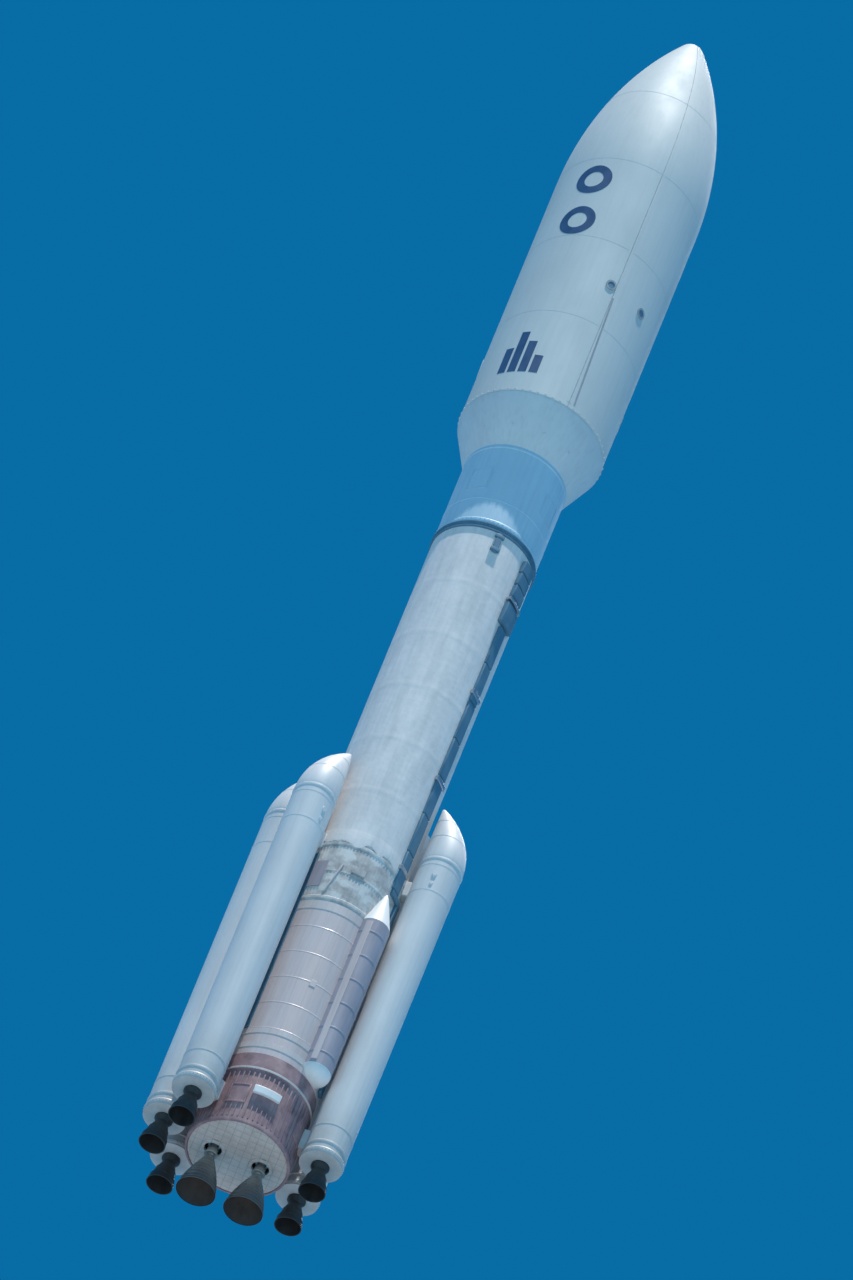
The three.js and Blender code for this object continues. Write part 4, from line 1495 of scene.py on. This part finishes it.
@dataclass
class Fairing:
    """The two halves of the fairing with their linings, seams, ports and plain marks."""

    halves: tuple[Half, ...] = (
        Half("left", -1, ((10.6, 43.25), (-120, 43.25)), ((-100, 39.6),), range(-160, 12, 6)),
        Half("right", 1, ((43.7, 43.15), (120, 43.15)), ((100, 39.6),), range(20, 190, 6)),
    )
    split: float = 15.0
    wall: float = 0.06
    ogive_level: float = 49.3
    ogive_length: float = 9.3
    tip_radius: float = 0.5
    seam_half: float = 0.006
    segments: int = 192
    wall_steps: int = 12
    # The steps up the nose's arc and over its ball.
    nose_steps: tuple[int, int] = (40, 12)
    # The width and proud height of the joints between the rings of panels, and of the one at the foot.
    joint_levels: tuple[float, ...] = (41.2, 45.2, 49.3, 53.4)
    joint: tuple[float, float] = (0.04, 0.023)
    foot_level: float = 0.09
    foot_joint: tuple[float, float] = (0.14, 0.036)
    # The rails beside the split, and their fasteners. The gaps are to the split, the foot and the nose.
    rail_width: float = 0.075
    rail_proud: float = 0.005
    rail_gaps: tuple[float, float, float] = (0.01, 0.25, 0.05)
    fasteners: int = 38
    fastener_start: float = 0.3
    fastener_step: float = 0.29
    fastener: tuple[float, float, int] = (0.035, 0.003, 6)
    # The plain rings' outer and inner radius.
    ring_levels: tuple[float, ...] = (48.15, 45.98)
    ring_azimuth: float = -34.5
    ring_radii: tuple[float, float] = (0.68, 0.36)
    ring_stretch: float = 1.08
    # The plain bars. Columns: offset along the wall, height.
    bars: Rows = ((-0.63, 1.3), (-0.21, 2.1), (0.21, 1.6), (0.63, 0.9))
    bar_width: float = 0.32
    bars_place: tuple[float, float] = (-33.5, 39.0)
    mark_proud: float = 0.006
    # A port's outer radius, inner radius and thickness.
    port_rim: Size = (0.2, 0.13, 0.03)
    port_cover: Size = (0.13, 0.0, 0.015)
    port_stretch: float = 1.15
    stud_size: Size = (0.09, 0.02)
    stud_lift: float = 0.016
    door_leaf: Size = (0.9, 0.6, 0.012, 0.004)
    door_rim: Size = (1.0, 0.7, 0.035, 0.02)
    vent_size: Size = (0.07, 5.5, 0.012, 0.004)
    vent_lean: float = -0.032
    vent_place: tuple[float, float] = (17.75, 40.0)

    def build(self) -> None:
        """Builds both halves and what is fixed to them."""
        self.base = Section.of("fairing_half_left").bottom
        self.radius = Section.of("boat_tail").radius
        self.ogive = Ogive(self.radius, self.ogive_length, self.tip_radius)
        for half in self.halves:
            self.shell(half)
            self.joints(half)
            self.seam_rails(half)
        self.marks()
        for half in self.halves:
            self.ports(half)
        for half in self.halves:
            self.fittings(half)
        run = wrap(leaning(slab(*self.vent_size), self.vent_lean), self.radius, *self.vent_place)
        finish_piece("fairing_vent_line", run, Slot.DARK, SEALANT, body="fairing_right")

    def halved(self, shape: Mesh, half: Half) -> Mesh:
        """Keeps one side of the split plane and closes the cut.

        Args:
            shape: A piece that goes all round.
            half: The half that stays.

        Returns:
            The same piece, cut.
        """
        angle = math.radians(self.split)
        across = Vector((math.cos(angle), math.sin(angle), 0.0)) * half.side
        cut = bmesh.ops.bisect_plane(
            shape, geom=all_of(shape), plane_co=across * self.seam_half, plane_no=across, clear_inner=True
        )
        bmesh.ops.triangle_fill(shape, edges=rim_of(cut), use_beauty=True, use_dissolve=False)
        bmesh.ops.recalc_face_normals(shape, faces=shape.faces)
        return shape

    def trim(self, half: Half, name: str, parts: list[Mesh]) -> None:
        """Finishes a painted piece that rides on a half."""
        finish_piece(f"{half.body}_{name}", parts, Slot.FAIRING, FAIRING_PAINT, body=half.body)

    def shell(self, half: Half) -> None:
        """Builds a half's wall, painted outside and lined inside.

        Args:
            half: The half.
        """
        level, radius = self.ogive_level, self.radius
        outer, inner = (self.ogive.points(level, inset, *self.nose_steps) for inset in (0.0, self.wall))
        step = (level - self.base) / self.wall_steps
        levels = [self.base + step * i for i in range(self.wall_steps)]
        up, down = [(radius, z) for z in levels], [(radius - self.wall, z) for z in reversed(levels)]
        shape = self.halved(spun([*up, *outer, *reversed(inner), *down], self.segments), half)
        for face in shape.faces:
            middle = face.calc_center_median()
            inward = face.normal.x * middle.x + face.normal.y * middle.y < -1e-4
            face.material_index = 1 if inward and abs(face.normal.z) < 0.99 else 0
        name, node = f"{half.body}_shell", f"fairing_half_{half.label}"
        finish_piece(name, shape, Slot.FAIRING, FAIRING_PAINT, LINING, body=half.body, node=node)

    def joints(self, half: Half) -> None:
        """Builds the joints between a half's rings of panels.

        Args:
            half: The half.
        """
        rows = [(level, *self.joint) for level in self.joint_levels]
        parts = []
        for level, width, proud in (*rows, (self.base + self.foot_level, *self.foot_joint)):
            radius = self.ogive.radius_at(max(0.0, level - self.ogive_level)) - FAIRING_HOOP_SUNK
            parts.append(self.halved(hoop(level, width, radius, proud, self.segments), half))
        self.trim(half, "joints", parts)

    def seam_rails(self, half: Half) -> None:
        """Builds the narrow rails beside the split, with their fasteners.

        Args:
            half: The half.
        """
        parts = []
        beside, below, above = self.rail_gaps
        bottom, top = self.base + below, self.ogive_level - above
        away = half.side * math.degrees((self.rail_width / 2 + self.seam_half + beside) / self.radius)
        for middle in (self.split + away, self.split + 180.0 - away):
            rail = slab(self.rail_width, top - bottom, self.rail_proud, 0.0, 0.05)
            parts.append(wrap(rail, self.radius, middle, (bottom + top) / 2))
            for i in range(self.fasteners):
                level = self.base + self.fastener_start + i * self.fastener_step
                parts.append(wrap(stud(*self.fastener), self.radius + self.rail_proud, middle, level))
        self.trim(half, "rails", parts)

    def marks(self) -> None:
        """Builds the plain dark-blue marks on the left half: two rings and a row of bars."""
        parts = []
        for level in self.ring_levels:
            ring = flat_ring(*self.ring_radii, self.mark_proud, self.ring_stretch, 48)
            parts.append(wrap(ring, self.radius, self.ring_azimuth, level))
        tallest = max(height for _, height in self.bars)
        for offset, height in self.bars:
            bar = shifted(slab(self.bar_width, height, self.mark_proud), x=offset, z=(height - tallest) / 2)
            parts.append(wrap(bar, self.radius, *self.bars_place))
        finish_piece("fairing_plain_marks", parts, Slot.FAIRING, MARK_PAINT, body="fairing_left")

    def ports(self, half: Half) -> None:
        """Builds a half's round ports, each a rim round a dark cover."""
        for name, finish, size in (("rims", SEALANT, self.port_rim), ("covers", RUBBER_AND_PAINTED_SHADE, self.port_cover)):
            parts = [wrap(flat_ring(*size, self.port_stretch), self.radius, *place) for place in half.ports]
            finish_piece(f"{half.body}_port_{name}", parts, Slot.DARK, finish, body=half.body)

    def fittings(self, half: Half) -> None:
        """Builds a half's door and the row of studs over its base.

        Args:
            half: The half.
        """
        radius, level = self.radius + self.stud_lift, self.base + self.foot_level
        parts = [wrap(stud(*self.stud_size), radius, azimuth, level) for azimuth in half.stud_azimuths]
        parts += doors(half.door, self.door_leaf, self.door_rim, self.radius)
        self.trim(half, "fittings", parts)


@dataclass
class Booster:
    """One strap-on booster: leaning nose, painted case with its fittings, and canted nozzle."""

    number: int
    azimuth: float
    centre: float = 2.9
    radius: float = 0.79
    segments: int = 72
    shoulder: float = 15.7
    nose_height: float = 3.0
    nose_tip: float = 0.09
    nose_lean: float = 1.0
    # The steps up the nose's arc and over its ball, and the points of its outline that have a ring.
    nose_steps: tuple[int, int] = (24, 7)
    nose_rings: tuple[int, ...] = (9, 17)
    # The case's ribs. Columns: level over its bottom, width, proud. The top one's level is below its top.
    foot_ribs: Rows = ((0.16, 0.2, 0.02), (0.55, 0.12, 0.02))
    top_rib: Rib = (0.1, 0.12, 0.02)
    foot_bolts: int = 40
    ring_levels: tuple[float, ...] = (1.95, 14.0, 15.3)
    # Rings by where they are: width, how deep the foot lies in the wall, and depth from there.
    case_ring: Size = (0.09, 0.01, 0.016)
    shoulder_ring: Size = (0.1, 0.02, 0.022)
    nose_ring: Size = (0.03, 0.012, 0.02)
    nozzle_ring: Size = (0.04, 0.012, 0.028)
    # How far over the shoulder its ring is.
    shoulder_gap: float = 0.07
    # The cable cover: azimuth, width, thickness and rounding, how much shorter than the case, how far up.
    cable_azimuth: float = 75.0
    cable_width: float = 0.2
    cable_depth: Size = (0.07, 0.02)
    cable_gap: float = 1.6
    cable_rise: float = 0.2
    # The blocks that meet the core. Columns: level, width, height.
    blocks: Rows = ((1.45, 0.5, 0.9), (14.3, 0.42, 0.7))
    block_gap: float = 0.004
    block_sunk: float = 0.1
    # The bosses on both sides. Columns: level, width, proud.
    bosses: Rows = ((14.75, 0.2, 0.04), (14.3, 0.14, 0.03))
    neck: float = 0.34
    neck_level: float = 0.55
    nozzle_wall: float = 0.035
    nozzle_throat: tuple[float, float] = (0.2, 0.3)
    nozzle_mouth: tuple[float, float] = (0.5, -0.75)
    nozzle_rings: tuple[int, ...] = (6, 12)
    nozzle_steps: int = 16
    nozzle_segments: int = 64
    cant_degrees: float = 3.0

    def build(self) -> None:
        """Builds the booster's pieces."""
        self.body = f"booster_{self.number}"
        self.nose()
        self.case()
        self.fittings()
        self.nozzle()

    def set_down(self, name: str, parts: list[Mesh], finish: Finish, node: str = "") -> None:
        """Moves a piece from the booster's own axis to its place on the rocket and finishes it.

        Args:
            name: The piece's name after the booster's own.
            parts: Its meshes, about the booster's axis.
            finish: Its finish.
            node: The CAD node it stands for, after the booster's own name, if any.
        """
        shape = rotated(shifted(joined(parts), y=-self.centre), math.radians(self.azimuth))
        slot = Slot.CARBON if finish is CARBON else Slot.WHITE
        full_node = f"{self.body}_{node}" if node else ""
        finish_piece(f"{self.body}_{name}", shape, slot, finish, body=self.body, node=full_node)

    def ring(self, radius: float, level: float, size: Size, segments: Optional[int] = None) -> Mesh:
        """Returns a ring of one of the sizes, where the wall has that radius."""
        width, sunk, proud = size
        return hoop(level, width, radius - sunk, proud, segments or self.segments)

    def nose(self) -> None:
        """Builds the nose, whose sections step in towards the core as they narrow."""
        ogive = Ogive(self.radius, self.nose_height, self.nose_tip)
        start = self.shoulder
        outline = ogive.points(start, 0.0, *self.nose_steps)
        parts = [spun([(0.0, start), *outline], self.segments)]
        parts.append(self.ring(self.radius, start + self.shoulder_gap, self.shoulder_ring))
        parts += [self.ring(*outline[index], self.nose_ring) for index in self.nose_rings]
        shape = joined(parts)
        for vert in shape.verts:
            height = max(0.0, min(vert.co.z - start, self.nose_height))
            vert.co.y += self.nose_lean * (self.radius - ogive.radius_at(height))
        self.set_down("nose_cone", [shape], CASE_PAINT, "nose")

    def case(self) -> None:
        """Builds the case with its joints, foot ring and cable cover."""
        case = Section.of(f"{self.body}_case")
        ribs = [(case.bottom + level, width, proud) for level, width, proud in self.foot_ribs]
        ribs += [(self.ring_levels[0], 0.05, 0.01), (case.top - self.top_rib[0], *self.top_rib[1:])]
        parts = [spun(ribbed_wall(case.bottom, case.top, self.radius, ribs), self.segments)]
        cover = slab(self.cable_width, case.height - self.cable_gap, *self.cable_depth)
        away = math.copysign(self.cable_azimuth, self.azimuth)
        parts.append(wrap(cover, self.radius, away, case.middle + self.cable_rise))
        level, _, proud = self.foot_ribs[0]
        bolt = wrap(stud(0.04, 0.02, 6), self.radius + proud, 0.0, case.bottom + level)
        parts.append(around(bolt, self.foot_bolts))
        self.set_down("case_skin", parts, CASE_PAINT, "case")

    def fittings(self) -> None:
        """Builds the blocks that meet the core, the bosses beside them, and the case's rings."""
        reach = self.centre - Section.of("core_fuel_tank").radius - self.block_gap
        inside = self.radius - self.block_sunk
        parts = []
        for level, width, height in self.blocks:
            # The long stretch without a bend leaves the block in one piece.
            block = slab(width, height, reach - inside, 0.03, 9.0)
            parts.append(shifted(block, y=inside, z=level))
        for side in (-90.0, 90.0):
            for level, width, proud in self.bosses:
                parts.append(wrap(stud(width, proud, 20), self.radius, side, level))
        self.set_down("fittings", parts, CASE_PAINT)
        rings = [self.ring(self.radius, level, self.case_ring) for level in self.ring_levels]
        self.set_down("rings", rings, CASE_PAINT)

    def nozzle(self) -> None:
        """Builds the nozzle, tipped outboard about the middle of its neck."""
        wall, cant = self.nozzle_wall, math.radians(self.cant_degrees)
        top = self.neck_level - self.neck * math.sin(cant)
        (narrow, start), (wide, end) = self.nozzle_throat, self.nozzle_mouth
        outer = flare((narrow + wall, start), (wide, end), self.nozzle_steps)
        inner = flare((narrow, start - wall), (wide - wall, end), self.nozzle_steps)
        profile = [(0.0, top), (self.neck, top), (self.neck, top - 0.06)]
        profile += [*outer, *reversed(inner), (0.0, start - wall)]
        segments = self.nozzle_segments
        parts = [spun(profile, segments)]
        parts += [self.ring(*outer[index], self.nozzle_ring, segments) for index in self.nozzle_rings]
        shape = rotated(joined(parts), -cant, "X", (0, 0, top))
        self.set_down("nozzle_cone", [shape], CARBON, "nozzle")


@dataclass
class Studio:
    """The plain backdrop, the floor far below, the lights and the camera."""

    look_up: float = 42.5
    lean: float = 22.4
    distance: float = 700.0
    frame_height: float = 22.8
    target: tuple[float, float, float] = (-0.39, 0.0, 13.15)
    sensor_mm: float = 36.0
    nearest: float = 1.0
    farthest: float = 3000.0
    backdrop: str = "#086ca5"
    floor_radius: float = 60.0
    floor_below: float = 1.0
    # Columns: name, azimuth, elevation, strength, colour, softness.
    suns: tuple[tuple[str, float, float, float, str, float], ...] = (
        ("key_light", -12.0, 81.0, 4.1, "#fffcf5", 0.6),
        ("front_fill", 0.0, -40.0, 0.85, "#cdfff9", 140.0),
        ("left_fill", -75.0, 0.0, 0.22, "#e4f2ff", 90.0),
        ("right_fill", 65.0, 0.0, 0.22, "#c4e2ff", 90.0),
        ("low_fill", 0.0, -80.0, 0.5, "#ffd6b8", 40.0),
        ("rear_fill", 180.0, -10.0, 0.5, "#dafff9", 140.0),
        ("far_side_light", 165.0, 55.0, 0.8, "#fffaf5", 20.0),
    )

    def build(self) -> None:
        """Sets up the backdrop, the lights, the camera and the floor."""
        self.world()
        for row in self.suns:
            self.sun(*row)
        self.floor(self.camera() - self.floor_below)

    def world(self) -> None:
        """Makes the plain backdrop, which is also the soft fill light."""
        world = bpy.data.worlds.new("backdrop")
        bpy.context.scene.world = world
        world.use_nodes = True
        tree = world.node_tree
        tree.nodes.clear()
        glow = add_node(tree, "Background", {"Color": linear(self.backdrop), "Strength": 1.0})
        add_node(tree, "OutputWorld", {"Surface": glow.outputs[0]})
        bpy.context.scene.view_settings.view_transform = "Standard"

    def sun(
        self, name: str, azimuth: float, elevation: float, strength: float, colour: str, softness: float
    ) -> None:
        """Adds a soft far light.

        Args:
            name: The light's name.
            azimuth: Where it shines from.
            elevation: How high it stands.
            strength: Its strength.
            colour: Its colour, in hex.
            softness: How wide it looks, in degrees.
        """
        light = bpy.data.lights.new(name, "SUN")
        light.energy = strength
        light.angle = math.radians(softness)
        light.color = linear(colour)[:3]
        lamp = bpy.data.objects.new(name, light)
        turn, rise = math.radians(azimuth), math.radians(elevation)
        toward = Vector((math.sin(turn) * math.cos(rise), -math.cos(turn) * math.cos(rise), math.sin(rise)))
        lamp.rotation_mode = "QUATERNION"
        lamp.rotation_quaternion = toward.to_track_quat("Z", "Y")
        bpy.context.scene.collection.objects.link(lamp)

    def camera(self) -> float:
        """Puts a long-lens camera below the rocket, looking up at it.

        Returns:
            The camera's level.
        """
        up = math.radians(self.look_up)
        back = Vector((0.0, -math.cos(up), -math.sin(up)))
        camera = bpy.data.cameras.new("camera")
        camera.sensor_fit = "AUTO"
        camera.sensor_width = self.sensor_mm
        camera.lens = self.sensor_mm * self.distance / self.frame_height
        camera.clip_start = self.nearest
        camera.clip_end = self.farthest
        eye = bpy.data.objects.new("camera", camera)
        eye.location = Vector(self.target) + back * self.distance
        eye.rotation_mode = "QUATERNION"
        roll = Matrix.Rotation(math.radians(self.lean), 3, "Z").to_quaternion()
        eye.rotation_quaternion = (-back).to_track_quat("-Z", "Y") @ roll
        bpy.context.scene.collection.objects.link(eye)
        bpy.context.scene.camera = eye
        return eye.location.z

    def floor(self, level: float) -> None:
        """Lays the pale floor.

        Args:
            level: Its height, which is under the camera.
        """
        disc = bmesh.new()
        bmesh.ops.create_circle(disc, cap_ends=True, segments=96, radius=self.floor_radius)
        floor = new_object("floor", shifted(disc, z=level))
        floor.data.materials.append(material_of(FLOOR_PAINT))


def main() -> None:
    """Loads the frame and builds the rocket's looks around it."""
    logging.basicConfig(level=logging.INFO, format="%(name)s: %(message)s")
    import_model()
    Studio().build()
    CoreStage().build()
    FeedlinePod().build()
    MainEngine().build()
    Interstage().build()
    UpperStage().build()
    Fairing().build()
    for number, azimuth in enumerate(BOOSTER_AZIMUTHS, start=1):
        Booster(number, azimuth).build()


if __name__ == "__main__":
    main()
